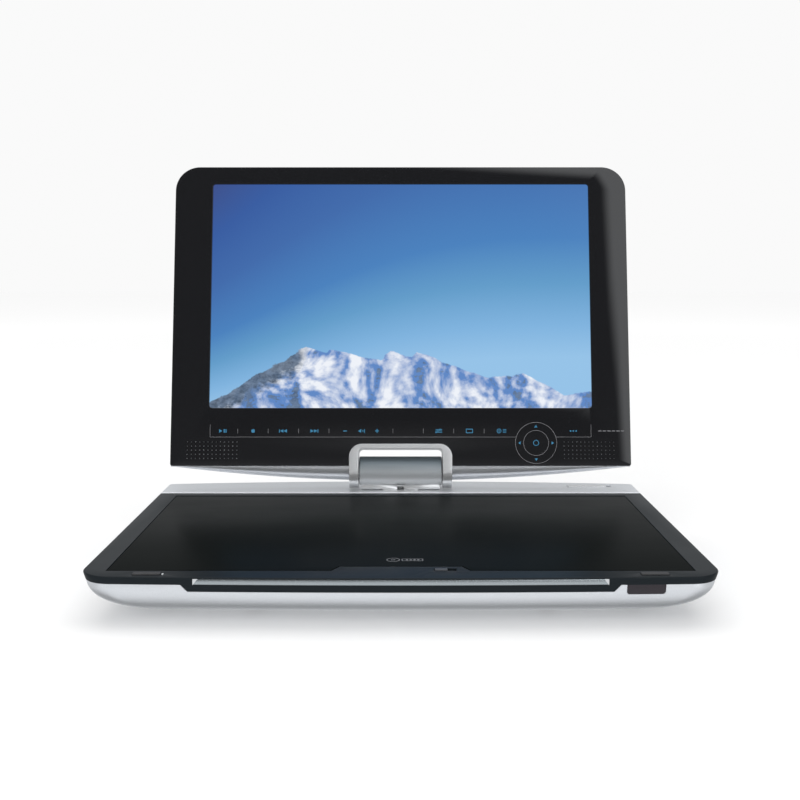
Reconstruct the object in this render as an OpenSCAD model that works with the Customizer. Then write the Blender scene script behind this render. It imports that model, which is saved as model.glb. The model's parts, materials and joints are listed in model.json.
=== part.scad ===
// Portable DVD player: a clamshell base with a disc lid, and a display on a swivel and tilt hinge.
// Units are millimetres. +X is the viewer's right, +Y goes to the back, +Z is up.
// The origin is on the table, under the middle of the open player's outer box.

/* [Base case] */
// Width of the base at its rim
base_w = 243; // [215:1:300]
// Hinge axis to the front edge, measured at the corners
front_reach = 159.2; // [158:0.1:200]
// How much further the front edge bulges in the middle
front_bow = 2.8; // [0:0.1:4]
// Hinge axis to the back edge, measured at the corners
back_reach = 11; // [9:0.5:20]
// How much further the back edge bulges in the middle
back_bow = 7; // [5:0.5:10]
// Height of the deck above the table
deck_z = 20; // [19.5:0.5:28]
// Height of the rubber feet below the case
foot_h = 3; // [1:0.5:3]
// Height of the black rim round the deck
rim_h = 3; // [2.5:0.5:4]
// How far the underside is drawn in from the rim
hull_inset = 18; // [12:1:22]
// Corner radius of the front corners, in plan
front_corner_r = 12; // [8:1:18]
// Corner radius of the back corners, in plan
back_corner_r = 2; // [1:0.5:8]
// Wall of the plastic shells
wall = 1.6; // [1.2:0.1:2]

/* [Deck] */
// Depth of deck from the hinge axis forward to the end of the silver strip
strip_front = 11.5; // [11.3:0.1:14]
// Black frame at each side of the disc lid
lid_side = 9.5; // [8:0.5:14]
// Black frame between the silver strip and the disc lid
lid_back = 8; // [7:0.5:12]
// Black frame in front of the disc lid
lid_front = 8; // [8:0.5:12]
// Gap round the disc lid
lid_gap = 0.4; // [0.3:0.1:0.8]
// Width of the latch tab at the lid's front edge
tab_w = 53; // [44:1:64]
// How far the latch tab reaches into the lid
tab_in = 5.7; // [5:0.1:8]
// Width of the silver finger channel in the front edge
channel_w = 155; // [120:1:170]
// Height of the finger channel's mouth
channel_h = 2.8; // [2.4:0.1:3.2]
// Depth of the finger channel
channel_d = 5; // [4:0.5:6]
// Height of the black lip below the finger channel
lip_h = 2.4; // [2:0.2:3.2]

/* [Disc drive] */
// Disc diameter
disc_d = 120; // [120:1:122]
// Disc thickness
disc_t = 1.2; // [1.2:0.1:1.4]
// Radius of the hub that the disc's centre hole fits over
hub_r = 7.4; // [7.3:0.05:7.45]
// Travel of the optical pickup
sled_travel = 32; // [28:1:34]
// Lead of the sled screw per turn
screw_lead = 3; // [2:0.5:4]

/* [Hinge] */
// Height of the tilt axis above the deck
axis_up = 9.1; // [9:0.1:12]
// Lean of the open display behind the vertical, in degrees
lean = 13.2; // [0:0.1:40]
// Outer width of the bright bracket
bracket_w = 52.3; // [46:0.1:60]
// Width of each bracket arm
arm_w = 4.7; // [4.5:0.1:7]
// Height of the bracket above the tilt axis
bracket_up = 13.4; // [13:0.1:16]
// Thickness of the bracket's top bar
bar_t = 2.2; // [2:0.1:3.2]
// Radius of the arms' round ends
arm_r = 8.6; // [8:0.1:8.8]
// Radius of the hinge barrel
barrel_r = 7.4; // [6:0.1:7.4]
// Radius of the steel tilt shaft
shaft_r = 2.5; // [2:0.1:3]
// Radius of the swivel tube
tube_r = 6.5; // [5:0.1:7.5]

/* [Display] */
// Gap between the closed display and the base's side edge
display_side = 4.3; // [3:0.1:8]
// Gap between the closed display and the base's front edge
display_front = 1; // [1:0.1:6]
// Height of the front glass's lower edge above the tilt axis
glass_up = 2.2; // [1.5:0.1:4]
// Distance of the front glass face from the tilt axis
glass_out = 7.6; // [7:0.1:8]
// Thickness of the front panel
glass_t = 1.8; // [1.5:0.1:2.4]
// Distance of the rear cover's middle from the tilt axis
rear_out = 7; // [6:0.1:7.8]
// How much flatter the rear cover is at the sides
rear_arch = 8.1; // [6:0.1:8.5]
// How far the rear cover's chin hangs below the glass in the middle
chin = 7.2; // [5:0.1:8]
// Corner radius of the display's upper corners
display_corner_r = 12.5; // [8:0.5:18]
// Black border beside the picture
bezel_side = 19.4; // [14:0.1:26]
// Black border above the picture
bezel_top = 9.1; // [7:0.1:14]
// Black border below the picture, which holds the touch keys
bezel_bottom = 29.6; // [28:0.1:36]

/* [Hidden] */

$fn = 48;
eps = 0.01;          // overlap that joins two shapes of one piece
fit = 0.15;          // gap between two fixed plastic pieces
run = 0.06;          // radial clearance of a turning pin
corner_steps = 7;    // segments in each rounded corner of the case
edge_steps = 10;     // segments along the bowed edges
hull_steps = 8;      // levels in the case's rounded side
side_draft = 0.8;    // how far the rim leans inwards at its foot
edge_r = 2.6;        // rounding of the rear cover's top edge
n_stations = 14;     // sections across the rear cover

// Frame of the whole player
display_h = front_reach - glass_up - display_front;
display_w = base_w - 2*display_side;
display_back = (glass_up + display_h - edge_r)*sin(lean) + (rear_out - edge_r)*cos(lean) + edge_r;
hinge_y = (front_reach + front_bow - display_back)/2;
axis_z = deck_z + axis_up;
front_y = hinge_y - front_reach;

// Heights in the base
skin_z = deck_z - wall;
rim_z = deck_z - rim_h;
floor_z = foot_h + wall;
disc_z = skin_z - 1 - disc_t;
well_z = disc_z - 2.4;
shelf_z = skin_z - 0.5;
shelf_t = 1.2;
plate_top = well_z - shelf_t - 0.3;
plate_t = 1;
rod_z = plate_top - 2.7;
rod_r = 1.5;

// Disc lid and well
lid_w = base_w - 2*lid_side;
lid_y1 = hinge_y - strip_front - lid_back;
lid_y0 = front_y + lid_front;
well_r = disc_d/2 + 1.5;
spindle_y = lid_y0 + tab_in + well_r + 0.8;
lid_axis_in = 2;                // hinge axis, in from the back edge of the lid's opening
lid_axis_drop = 4.5;            // hinge axis, below the deck
lid_swing = 70;                 // how far the lid opens, in degrees
lid_axis_y = lid_y1 - lid_axis_in;
lid_axis_z = deck_z - lid_axis_drop;
lid_ear_x = lid_w/2 - 14;
lid_ear_t = 4;
lid_ear_r = 2.4;
lid_pin_r = 1.2;
// the open lid leans past its back edge by this much
lid_lean = lid_axis_drop*tan(lid_swing/2) + 0.1;
relief_r = norm([lid_lean, lid_axis_drop]);
tab_y = lid_y0 + tab_in;

// Sled
sled_y = 15;                    // rods' distance each side of the spindle
sled_x0 = 21;                   // pickup's innermost centre
sled_len = 15;                  // sled's length along the rods
screw_y = spindle_y - 22;
screw_r = 1.3;
screw_z = rod_z - 0.6;
rod_x1 = sled_x0 + sled_travel + sled_len/2 + 3;

// Side bays
bay_x0 = well_r + wall + 2;
bay_x1 = base_w/2 - hull_inset - 3;
bay_y0 = front_y + 24;
bay_y1 = hinge_y - 30;
screw_x = 57;
screw_dy = 57;
jack_z = rim_z - 5;
jack_x = base_w/2 - 2;
headphone_r = 1.85;
headphone_depth = 14;
jack_nose_r = 3.2;
board_z = floor_z + 2.8;        // top of the main board
// how far the case's side curves in at the main board
side_in = hull_inset*(1 - sqrt(1 - pow((rim_z - board_z)/(rim_z - floor_z), 2)));
jack_seat = jack_x - base_w/2 + side_draft + wall + side_in + 0.8;   // face to the jack's square body

foot_r = 5;
foot_seat = 0.8;                // depth of each foot's recess
screw_head_r = 2.6;
screw_shank_r = 1.3;
screw_hole_r = screw_shank_r + 0.05;
hatch_t = 0.9;

// Small parts on the deck
window_w = 14.4;
pad_len = 10.6;
pad_w = 3;
pad_seat = 0.8;
pad_up = 0.5;
pad_y = front_y + wall + 2;
led_r = 0.4;
led_x = -base_w/2 + 32;
lock_x = 17;
lock_y = front_y + 9.6;
lock_travel = 3.2;
lock_cap = [4.8, 2.6];
power_x = base_w/2 - 23.4;
power_travel = 2.5;
power_cap = [20, 3.6];
power_inner = [power_cap[0] + power_travel + 1.9, power_cap[1] + 0.8];
power_wall = 0.7;
power_depth = power_inner[1] + 2*power_wall;
power_end_x = power_x + power_inner[0]/2 + 2;
power_clear = 1.2;              // to the back wall, which curves in below the rim
power_y = back_at(power_end_x) - side_draft - wall - power_clear - power_depth/2;
slot_gap = 0.2;                 // round each slider's cap

// Drive
hub_flange_r = 14;
spindle_r = 1.5;
claw_w = 2.8;
claw_angles = [90, 210, 330];

// Hinge
barrel_w = bracket_w - 2*arm_w - 0.7;
tube_bore_r = tube_r - 2;
disc_turn_r = 10.4;

hinge_screw_x = 12;
ceiling_u = bracket_up + fit + wall;

// Display
pic_w = display_w - 2*bezel_side;
pic_h = display_h - bezel_bottom - bezel_top;
pic_u = glass_up + bezel_bottom;
glass_v = -glass_out;
back_v = glass_v + glass_t;
notch_w = bracket_w + 2*fit;
ring_x = 68.4;
grille_x = 96;
grille_u = glass_up + 8;
grille_step = 2.4;
grille_row = 2;
grille_r = 0.45;

// ---------- outlines ----------
function arc(cx, cy, r, a0, a1, n) =
  [for (k = [0:n]) let (a = a0 + (a1 - a0)*k/n) [cx + r*cos(a), cy + r*sin(a)]];

function bowed(pts, hw, by) =
  [for (p = pts) [p[0], p[1] + by*(1 - pow(p[0]/hw, 2))]];

// Plan outline of the case, drawn in by i
function outline(i) =
  let (hw = base_w/2 - i, rf = front_corner_r + i/2, rb = back_corner_r + i/2)
  let (yf = front_y + i, yb = hinge_y + back_reach - i, m = edge_steps, n = corner_steps)
  concat(
    bowed(concat(
      arc(-hw + rf, yf + rf, rf, 180, 270, n),
      [for (k = [1:m - 1]) [(2*k/m - 1)*(hw - rf), yf]],
      arc(hw - rf, yf + rf, rf, 270, 360, n)), hw, -front_bow),
    bowed(concat(
      arc(hw - rb, yb - rb, rb, 0, 90, n),
      [for (k = [1:m - 1]) [(1 - 2*k/m)*(hw - rb), yb]],
      arc(-hw + rb, yb - rb, rb, 90, 180, n)), hw, back_bow));

// Back edge of the case, x from the middle
function back_at(x) = hinge_y + back_reach + back_bow*(1 - pow(x/(base_w/2), 2));

// Side view of the rounded case: inset and height of level k
function level(k, i) =
  let (t = 90*k/hull_steps)
  [side_draft + i + hull_inset*(1 - cos(t)), rim_z - (rim_z - foot_h - i)*sin(t)];

// The case's rounded lower body, drawn in by i on its walls and floor
module case_body(i) {
  hull()
    for (k = [0:hull_steps])
      translate([0, 0, level(k, i)[1]])
        linear_extrude(eps) polygon(outline(level(k, i)[0]));
}

// The drafted rim above it
module rim_body(i) {
  hull() {
    translate([0, 0, rim_z]) linear_extrude(eps) polygon(outline(side_draft + i));
    translate([0, 0, deck_z - 0.6]) linear_extrude(eps) polygon(outline(i + 0.1));
    translate([0, 0, deck_z - eps]) linear_extrude(eps) polygon(outline(i + 0.7));
  }
}

module round_rect(w, h, r) {
  hull()
    for (x = [-1, 1], y = [-1, 1])
      translate([x*(w/2 - r), y*(h/2 - r)]) circle(r, $fn = 24);
}

// A box given by its lowest and highest corners
module span(a, b) {
  translate(a) cube([b[0] - a[0], b[1] - a[1], b[2] - a[2]]);
}

module along_x(x0, x1) {
  translate([x0, 0, 0]) rotate([90, 0, 90]) linear_extrude(x1 - x0) children();
}

// Lid outline with the latch tab's notch; g shrinks the lid or widens its opening
module lid_shape(g) {
  difference() {
    translate([-lid_w/2 + g, lid_y0 + g]) square([lid_w - 2*g, lid_y1 - lid_y0 - 2*g]);
    polygon([[-tab_w/2 - g, lid_y0 - 1], [-tab_w/2 - g, lid_y0 + g],
             [-tab_w/2 + 3 - g, tab_y + g], [tab_w/2 - 3 + g, tab_y + g],
             [tab_w/2 + g, lid_y0 + g], [tab_w/2 + g, lid_y0 - 1]]);
  }
}

// Front lip block: wide at the top, with sloping ends
module lip_block(g) {
  w = channel_w/2 + 2;
  z0 = deck_z - channel_h - 0.4 - lip_h;
  translate([0, front_y + 14, 0]) rotate([90, 0, 0]) linear_extrude(20)
    polygon([[-w - g, z0 - g], [w + g, z0 - g], [w + 3 + g, rim_z + eps], [-w - 3 - g, rim_z + eps]]);
}

module window_block(g) {
  translate([base_w/2 - 29.8, front_y + 14, rim_z]) rotate([90, 0, 0]) linear_extrude(20)
    union() {
      translate([-window_w/2 - g, -2.2]) square([window_w + 2*g, 2.2 + eps]);
      translate([0, -1.9]) round_rect(window_w + 2*g, 3.7 + 2*g, 1.2);
    }
}

// ---------- base ----------
module bottom_case() {
  color("silver") difference() {
    union() {
      difference() {
        case_body(0);
        case_body(wall);
        span([-base_w, -base_w, rim_z], [base_w, base_w, deck_z]);
        lip_block(fit);
        window_block(fit);
      }
      for (x = [-screw_x, screw_x], y = [-screw_dy, screw_dy])
        translate([x, spindle_y + y, floor_z - eps])
          cylinder(r = 3.2, h = shelf_z - shelf_t - 0.2 - floor_z);
      // bosses that carry the loader's grommets
      for (p = grommet_at())
        translate([p[0], p[1], floor_z - eps]) cylinder(r = 2.4, h = plate_top - 4.2 - floor_z);
    }
    for (x = [-screw_x, screw_x], y = [-screw_dy, screw_dy])
      translate([x, spindle_y + y, 0]) {
        cylinder(r = screw_hole_r, h = deck_z);
        cylinder(r = screw_head_r + 0.3, h = foot_h + 1.2);
      }
    for (p = feet_at()) translate([p[0], p[1], 0]) cylinder(r = foot_r + 0.1, h = foot_h + foot_seat);
    // battery hatch: an opening with a ledge
    span([-bay_x1 + 2, bay_y0 + 16, 0], [-bay_x0 - 2, bay_y1 - 8, deck_z/2]);
    span([-bay_x1, bay_y0 + 14, 0], [-bay_x0, bay_y1 - 6, foot_h + hatch_t]);
    for (y = jack_ys())
      translate([base_w/2 - 14, y, jack_z]) rotate([0, 90, 0]) cylinder(r = jack_nose_r + 0.1, h = 20);
  }
}

function grommet_at() = [for (x = [-46, 46], y = [-30, 30]) [x, spindle_y + y]];
function feet_at() =
  let (x = base_w/2 - hull_inset - 13)
  let (y0 = front_y + hull_inset + 12, y1 = hinge_y + back_reach - hull_inset - 9)
  [for (s = [-1, 1], y = [y0, y1]) [s*x, y]];
function jack_ys() = [for (k = [0:3]) hinge_y - 60 + 12*k];

module deck_frame() {
  color([0.05, 0.06, 0.07]) difference() {
    union() {
      difference() {
        rim_body(0);
        span([-base_w, hinge_y - strip_front, 0], [base_w, base_w, deck_z + 1]);
        // hollow under the skin
        translate([0, 0, rim_z - 1]) linear_extrude(skin_z - rim_z + 1)
          intersection() {
            polygon(outline(side_draft + wall));
            translate([-base_w, hinge_y - strip_front - wall - base_w]) square([2*base_w, base_w]);
          }
      }
      intersection() {
        difference() { case_body(0); case_body(wall); }
        lip_block(0);
      }
      // floor behind the channel
      span([-channel_w/2 - 1.5, front_y + channel_d + 0.7, deck_z - channel_h - 1.4],
           [channel_w/2 + 1.5, front_y + channel_d + 2.0, skin_z + eps]);
    }
    translate([0, 0, deck_z - 10]) linear_extrude(20) lid_shape(0);
    lid_relief(lid_w);
    // pocket of the finger channel
    span([-channel_w/2 - fit, front_y - 5, deck_z - 0.4 - channel_h - 0.25],
         [channel_w/2 + fit, front_y + channel_d + 0.6, deck_z - 0.4]);
    // slots of the sliders, pads and pin
    slider_slot(lock_x, lock_y, lock_cap, lock_travel);
    for (x = pads_x()) translate([x, pad_y, deck_z])
      span([-pad_len/2, -pad_w/2, -pad_seat], [pad_len/2, pad_w/2, 1]);
    translate([led_x, pad_y, 0]) cylinder(r = led_r + 0.1, h = deck_z + 1, $fn = 24);
  }
}

function pads_x() = [-base_w/2 + 26, base_w/2 - 26];

// Slot for a slider's cap, with room for its travel
module slider_slot(x, y, cap, travel) {
  w = cap[0] + travel + 3*slot_gap;
  span([x - w/2, y - cap[1]/2 - slot_gap, 0], [x + w/2, y + cap[1]/2 + slot_gap, deck_z + 1]);
}

module hinge_strip() {
  color("silver") difference() {
    rim_body(0);
    span([-base_w, -base_w, 0], [base_w, hinge_y - strip_front + fit, deck_z + 1]);
    translate([0, 0, rim_z - 1]) linear_extrude(skin_z - rim_z + 1)
      intersection() {
        polygon(outline(side_draft + wall));
        translate([-base_w, hinge_y - strip_front + fit + wall]) square([2*base_w, base_w]);
      }
    translate([0, hinge_y, 0]) cylinder(r = disc_turn_r + 0.25, h = deck_z + 1);
    slider_slot(power_x, power_y, power_cap, power_travel);
  }
}

module finger_channel() {
  // a concave bright channel: its mouth opens to the front
  z1 = deck_z - 0.4;
  z0 = z1 - channel_h - 0.2;
  color("silver") intersection() {
    rim_body(0.15);
    along_x(-channel_w/2, channel_w/2) difference() {
      translate([front_y - front_bow, z0]) square([channel_d + front_bow + 0.5, z1 - z0]);
      hull() {
        translate([front_y + channel_d - 1.3, (z0 + z1)/2]) circle((channel_h - 0.4)/2, $fn = 32);
        translate([front_y - 4, (z0 + z1)/2]) circle((channel_h - 0.1)/2, $fn = 32);
      }
    }
  }
}

module ir_window() {
  color([0.03, 0.03, 0.04]) intersection() {
    difference() { case_body(0); case_body(wall); }
    window_block(0);
    span([-base_w, -base_w, 0], [base_w, base_w, rim_z]);
  }
}

module battery_cover() {
  color("dimgray") difference() {
    span([-bay_x1 + fit, bay_y0 + 14 + fit, foot_h], [-bay_x0 - fit, bay_y1 - 6 - fit, foot_h + hatch_t]);
    for (k = [0:4])
      translate([-(bay_x0 + bay_x1)/2, bay_y0 + 22 + 3*k, foot_h])
        cube([14, 1, 0.7], center = true);
  }
}

module rubber_feet() {
  color([0.08, 0.08, 0.08])
    for (p = feet_at()) translate([p[0], p[1], 0]) cylinder(r = foot_r, h = foot_h + foot_seat);
}

module case_screws() {
  color("lightgray")
    for (x = [-screw_x, screw_x], y = [-screw_dy, screw_dy])
      translate([x, spindle_y + y, foot_h - 0.3]) difference() {
        union() {
          cylinder(r = screw_head_r, h = 1.5);
          cylinder(r = screw_shank_r, h = 9);
        }
        for (a = [0, 90]) rotate([0, 0, a]) cube([3, 0.7, 1.4], center = true);
      }
}

module closing_pads() {
  color([0.04, 0.04, 0.04])
    for (x = pads_x())
      span([x - pad_len/2, pad_y - pad_w/2, deck_z - pad_seat],
           [x + pad_len/2, pad_y + pad_w/2, deck_z + pad_up]);
}

module disc_well() {
  color([0.1, 0.1, 0.11]) difference() {
    union() {
      difference() {
        translate([0, 0, shelf_z - shelf_t]) linear_extrude(shelf_t) well_plan();
        // room for the lid's back edge to swing down into
        lid_relief(base_w);
      }
      translate([0, spindle_y, well_z - shelf_t])
        cylinder(r = well_r + wall, h = shelf_z - well_z + shelf_t, $fn = 96);
      for (x = [-1, 1]) lid_lug(x);
    }
    translate([0, spindle_y, well_z]) cylinder(r = well_r, h = 10, $fn = 96);
    translate([0, spindle_y, 0]) cylinder(r = 16.5, h = deck_z);
    span([0, spindle_y - 11, 0], [sled_x0 + sled_travel + 10, spindle_y + 11, deck_z]);
    for (x = [-lid_ear_x, lid_ear_x])
      span([x - lid_ear_t/2 - 0.4, lid_axis_y - 7, 0], [x + lid_ear_t/2 + 0.4, lid_axis_y + 6, deck_z]);
    for (x = [-1, 1]) lid_pin(x);
    // room for the lock slider and the lid's tongue
    span([lock_x - 8, lid_y0 - 20, 0], [lock_x + 8, lock_y + 2.6, deck_z]);
    span([lock_x - 3, lid_y0 - 20, skin_z - 2.4], [lock_x + 9.4, tab_y + 3.8, deck_z]);
    for (x = [-screw_x, screw_x], y = [-screw_dy, screw_dy])
      translate([x, spindle_y + y, 0]) cylinder(r = screw_hole_r, h = deck_z);
  }
}

module well_plan() {
  translate([-lid_w/2 - 2, lid_y0 - 1]) square([lid_w + 4, lid_axis_y - lid_y0 - 1.2]);
  translate([-lid_w/2 - 2, lid_y0 - 1]) square([lid_w/2 - lid_ear_x + 12, lid_axis_y - lid_y0 + 3.4]);
  translate([lid_ear_x - 10, lid_y0 - 1]) square([lid_w/2 - lid_ear_x + 12, lid_axis_y - lid_y0 + 3.4]);
}

// Room for the lid's back edge to swing in
module lid_relief(len) {
  translate([0, lid_axis_y, lid_axis_z]) rotate([0, 90, 0])
    cylinder(r = relief_r, h = len, center = true, $fn = 96);
}

// Lug that holds one lid pin, outboard of the lid's ear
module lid_lug(side) {
  translate([side*(lid_ear_x + lid_ear_t/2 + 2.9), lid_axis_y, lid_axis_z]) rotate([0, 90, 0])
    cylinder(r = 2.5, h = 5, center = true);
  translate([side*(lid_ear_x + lid_ear_t/2 + 2.9), lid_axis_y - 3.6, lid_axis_z + 0.6])
    cube([5, 7.2, 3], center = true);
}

module lid_pin(side) {
  translate([side*(lid_ear_x + 1.5), lid_axis_y, lid_axis_z]) rotate([0, 90, 0])
    cylinder(r = lid_pin_r, h = 8, center = true);
}

module lid_hinge_pins() {
  color("silver") for (x = [-1, 1]) lid_pin(x);
}

module loader_plate() {
  color("gainsboro") difference() {
    union() {
      translate([-50, spindle_y - 34, plate_top - plate_t]) cube([rod_x1 + 58, 68, plate_t]);
      // folded rod holders
      for (y = [-sled_y, sled_y], x = [sled_x0 - 12, rod_x1])
        translate([x, spindle_y + y, rod_z - 0.1]) cube([2.4, 6, 5.2], center = true);
      for (x = [sled_x0 - 12, rod_x1])
        translate([x, screw_y, screw_z + 0.4]) cube([2.4, 6, 5], center = true);
    }
    span([sled_x0 - 10.6, spindle_y - 27, 0], [rod_x1 - 1.3, spindle_y + 20, plate_top + 1]);
    span([6, spindle_y - 11.5, 0], [sled_x0, spindle_y + 11.5, plate_top + 1]);
    span([sled_x0 - 27, screw_y - 4, 0], [sled_x0 - 13.25, screw_y + 4, plate_top + 1]);
    translate([0, spindle_y, 0]) cylinder(r = 2.3, h = deck_z);
    for (y = [-sled_y, sled_y])
      translate([0, spindle_y + y, rod_z]) rotate([0, 90, 0]) cylinder(r = rod_r, h = base_w);
    translate([0, screw_y, screw_z]) rotate([0, 90, 0]) cylinder(r = 1 + run, h = base_w);
    for (p = grommet_at()) translate([p[0], p[1], 0]) cylinder(r = 3.5, h = deck_z);
  }
}

module loader_grommets() {
  // soft dampers with a waist that the plate's holes sit in
  color([0.12, 0.12, 0.12])
    for (p = grommet_at()) translate([p[0], p[1], plate_top - 4.2]) rotate_extrude()
      polygon([[1, 0], [4.6, 0], [4.6, 3.1], [3.4, 3.1], [3.4, 4.3], [4.6, 4.3], [4.6, 4.4], [1, 4.4]]);
}

module spindle_motor() {
  color("gray") translate([0, spindle_y, plate_top - plate_t - 4.6]) difference() {
    cylinder(r = 5.6, h = 4.6 - 0.02);
    translate([0, 0, 0.8]) cylinder(r = spindle_r + run, h = 10);
  }
}

module guide_rods() {
  color("silver")
    for (y = [-sled_y, sled_y])
      translate([sled_x0 - 13.2, spindle_y + y, rod_z]) rotate([0, 90, 0])
        cylinder(r = rod_r, h = rod_x1 - sled_x0 + 14.4);
}

module sled_motor() {
  color("gray") translate([sled_x0 - 13.3, screw_y, screw_z]) rotate([0, -90, 0]) cylinder(r = 3.6, h = 13);
}

module sled_screw() {
  // the thread is drawn as rings, one for each turn
  turns = floor((rod_x1 - sled_x0 + 9)/screw_lead);
  color("silver") translate([sled_x0 - 10.6, screw_y, screw_z]) rotate([0, 90, 0]) {
    translate([0, 0, -2.6]) cylinder(r = 1, h = rod_x1 - sled_x0 + 14.4);
    rotate_extrude()
      polygon(concat([[0, 0]],
        [for (k = [0:turns - 1], p = [[1, 0.1], [screw_r, 0.4], [screw_r, 0.6], [1, 0.9]])
          [p[0], (k + p[1])*screw_lead]],
        [[0, turns*screw_lead]]));
  }
}

module main_board() {
  color("darkgreen") difference() {
    span([bay_x0 + 1, bay_y0 + 8, floor_z + 1.2], [bay_x1 + 4, bay_y1, board_z]);
    for (y = [bay_y0 + 12, bay_y1 - 6]) translate([bay_x0 + 5, y, 0]) cylinder(r = 1.6, h = deck_z);
  }
  // stand-offs moulded to the board's corners
  color("darkgreen")
    for (y = [bay_y0 + 18, bay_y1 - 14], x = [bay_x0 + 6, bay_x1 - 6])
      translate([x, y, floor_z]) cylinder(r = 1.8, h = 1.3);
}

module board_chips() {
  z = board_z;
  color([0.1, 0.1, 0.1]) {
    translate([bay_x0 + 6, bay_y0 + 20, z]) cube([18, 18, 1.4]);
    translate([bay_x0 + 6, bay_y0 + 44, z]) cube([12, 8, 1.2]);
    translate([bay_x0 + 20, bay_y0 + 44, z]) cube([8, 12, 1.2]);
    for (k = [0:3]) translate([bay_x0 + 6 + 7*k, bay_y0 + 12, z]) cylinder(r = 2.5, h = 5);
  }
}

module board_shield() {
  color("silver") difference() {
    span([bay_x0 + 4, bay_y0 + 18, board_z], [bay_x0 + 32, bay_y0 + 60, floor_z + 6]);
    span([bay_x0 + 4.4, bay_y0 + 18.4, floor_z + 2.7], [bay_x0 + 31.6, bay_y0 + 59.6, floor_z + 5.6]);
  }
}

module battery_pack() {
  // three flat cells side by side in one sleeve
  w = bay_x1 - bay_x0 - 4;
  n = 3;
  len = (bay_y1 - bay_y0 - 14)/n;
  color([0.15, 0.3, 0.5])
    for (k = [0:n - 1])
      translate([-bay_x1 + 2, bay_y0 + 12 + k*len, floor_z])
        cube([w, len - 0.4, shelf_z - shelf_t - floor_z - 1.2]);
}

module round_jack(y, bore, depth) {
  translate([jack_x, y, jack_z]) rotate([0, -90, 0]) difference() {
    union() {
      cylinder(r = jack_nose_r, h = jack_seat + eps);
      translate([board_z - jack_z, -4.5, jack_seat])
        cube([shelf_z - shelf_t - 0.5 - board_z, 9, depth + 1 - jack_seat]);
    }
    translate([0, 0, -1]) cylinder(r = bore, h = depth + 1);
  }
}

module headphone_jack_front() {
  color([0.1, 0.1, 0.1]) round_jack(jack_ys()[0], headphone_r, headphone_depth);
}

module headphone_jack_rear() {
  color([0.1, 0.1, 0.1]) round_jack(jack_ys()[1], headphone_r, headphone_depth);
}

module av_jack() {
  color([0.75, 0.6, 0.1]) round_jack(jack_ys()[2], headphone_r, headphone_depth);
}

module power_jack() {
  color([0.1, 0.1, 0.1]) {
    round_jack(jack_ys()[3], 2.6, 12);
    translate([jack_x - 1, jack_ys()[3], jack_z]) rotate([0, -90, 0]) cylinder(r = 0.8, h = 11.5);
  }
}

module power_switch_body() {
  end = power_end_x - power_x;
  w = power_inner[0];
  d = power_inner[1];
  color([0.1, 0.1, 0.1]) translate([power_x, power_y, skin_z - 4.6]) difference() {
    span([-end, -power_depth/2, -0.4], [end, power_depth/2, 3.9]);
    span([-w/2, -d/2, 1.2], [w/2, d/2, 6.2]);
  }
}

module power_slider() {
  color("silver") translate([power_x - power_travel/2, power_y, 0]) {
    span([-power_cap[0]/2, -power_cap[1]/2, skin_z - 3.2], [power_cap[0]/2, power_cap[1]/2, skin_z + 0.2]);
    translate([0, 0, skin_z]) linear_extrude(wall + 0.35) round_rect(power_cap[0], power_cap[1], 0.8);
  }
}

module lock_slider() {
  z0 = skin_z - 1.3;
  z1 = skin_z - 0.65;
  color([0.05, 0.05, 0.06]) translate([lock_x - lock_travel/2, lock_y, 0]) {
    span([-lock_cap[0]/2, -lock_cap[1]/2, skin_z - 0.7], [lock_cap[0]/2, lock_cap[1]/2, deck_z + 0.2]);
    span([-4, -2.3, skin_z - 1.6], [4, 2.3, skin_z - 0.2]);
    span([-1.5, -1.3, skin_z - 3.2], [1.5, 1.3, skin_z - 1.5]);
    // arm and finger that lock the lid's tongue
    span([1, 2, z0], [2.6, tab_y + 2.1 - lock_y, z1]);
    span([1, tab_y + 1.3 - lock_y, z0], [6.7, tab_y + 2.1 - lock_y, z1]);
  }
}

module lock_body() {
  color([0.1, 0.1, 0.1]) translate([lock_x, lock_y, skin_z - 5.4]) difference() {
    translate([-6, -2.4, 0]) cube([12, 4.8, 3.6]);
    translate([-5, -1.5, 1.9]) cube([10, 3, 4]);
  }
}

module status_led() {
  color("white") translate([led_x, pad_y, skin_z - 3]) {
    cylinder(r = 1.5, h = 2.9, $fn = 24);
    cylinder(r = led_r, h = wall + 3.1, $fn = 24);
  }
}

module swivel_plate() {
  color("lightgray") translate([0, hinge_y, skin_z - 2.9]) difference() {
    translate([-32, -strip_front + 2.4, 0]) cube([64, strip_front + 6.6, 1.5]);
    translate([0, 0, -1]) cylinder(r = tube_r + run, h = 5);
    for (x = [-26, 26]) translate([x, 0, -1]) cylinder(r = 1.6, h = 5);
  }
  // spacers that carry the plate under the strip
  color("lightgray") translate([0, hinge_y, skin_z - 1.4]) for (x = [-26, 26])
    translate([x, 0, 0]) difference() {
      cylinder(r = 3.4, h = 1.4);
      translate([0, 0, -1]) cylinder(r = 1.6, h = 3);
    }
}

module swivel_screws() {
  color("silver") translate([0, hinge_y, skin_z - 4.3]) for (x = [-26, 26]) translate([x, 0, 0]) {
    cylinder(r = 3, h = 1.4);
    cylinder(r = 1.5, h = 4.2);
  }
}

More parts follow.
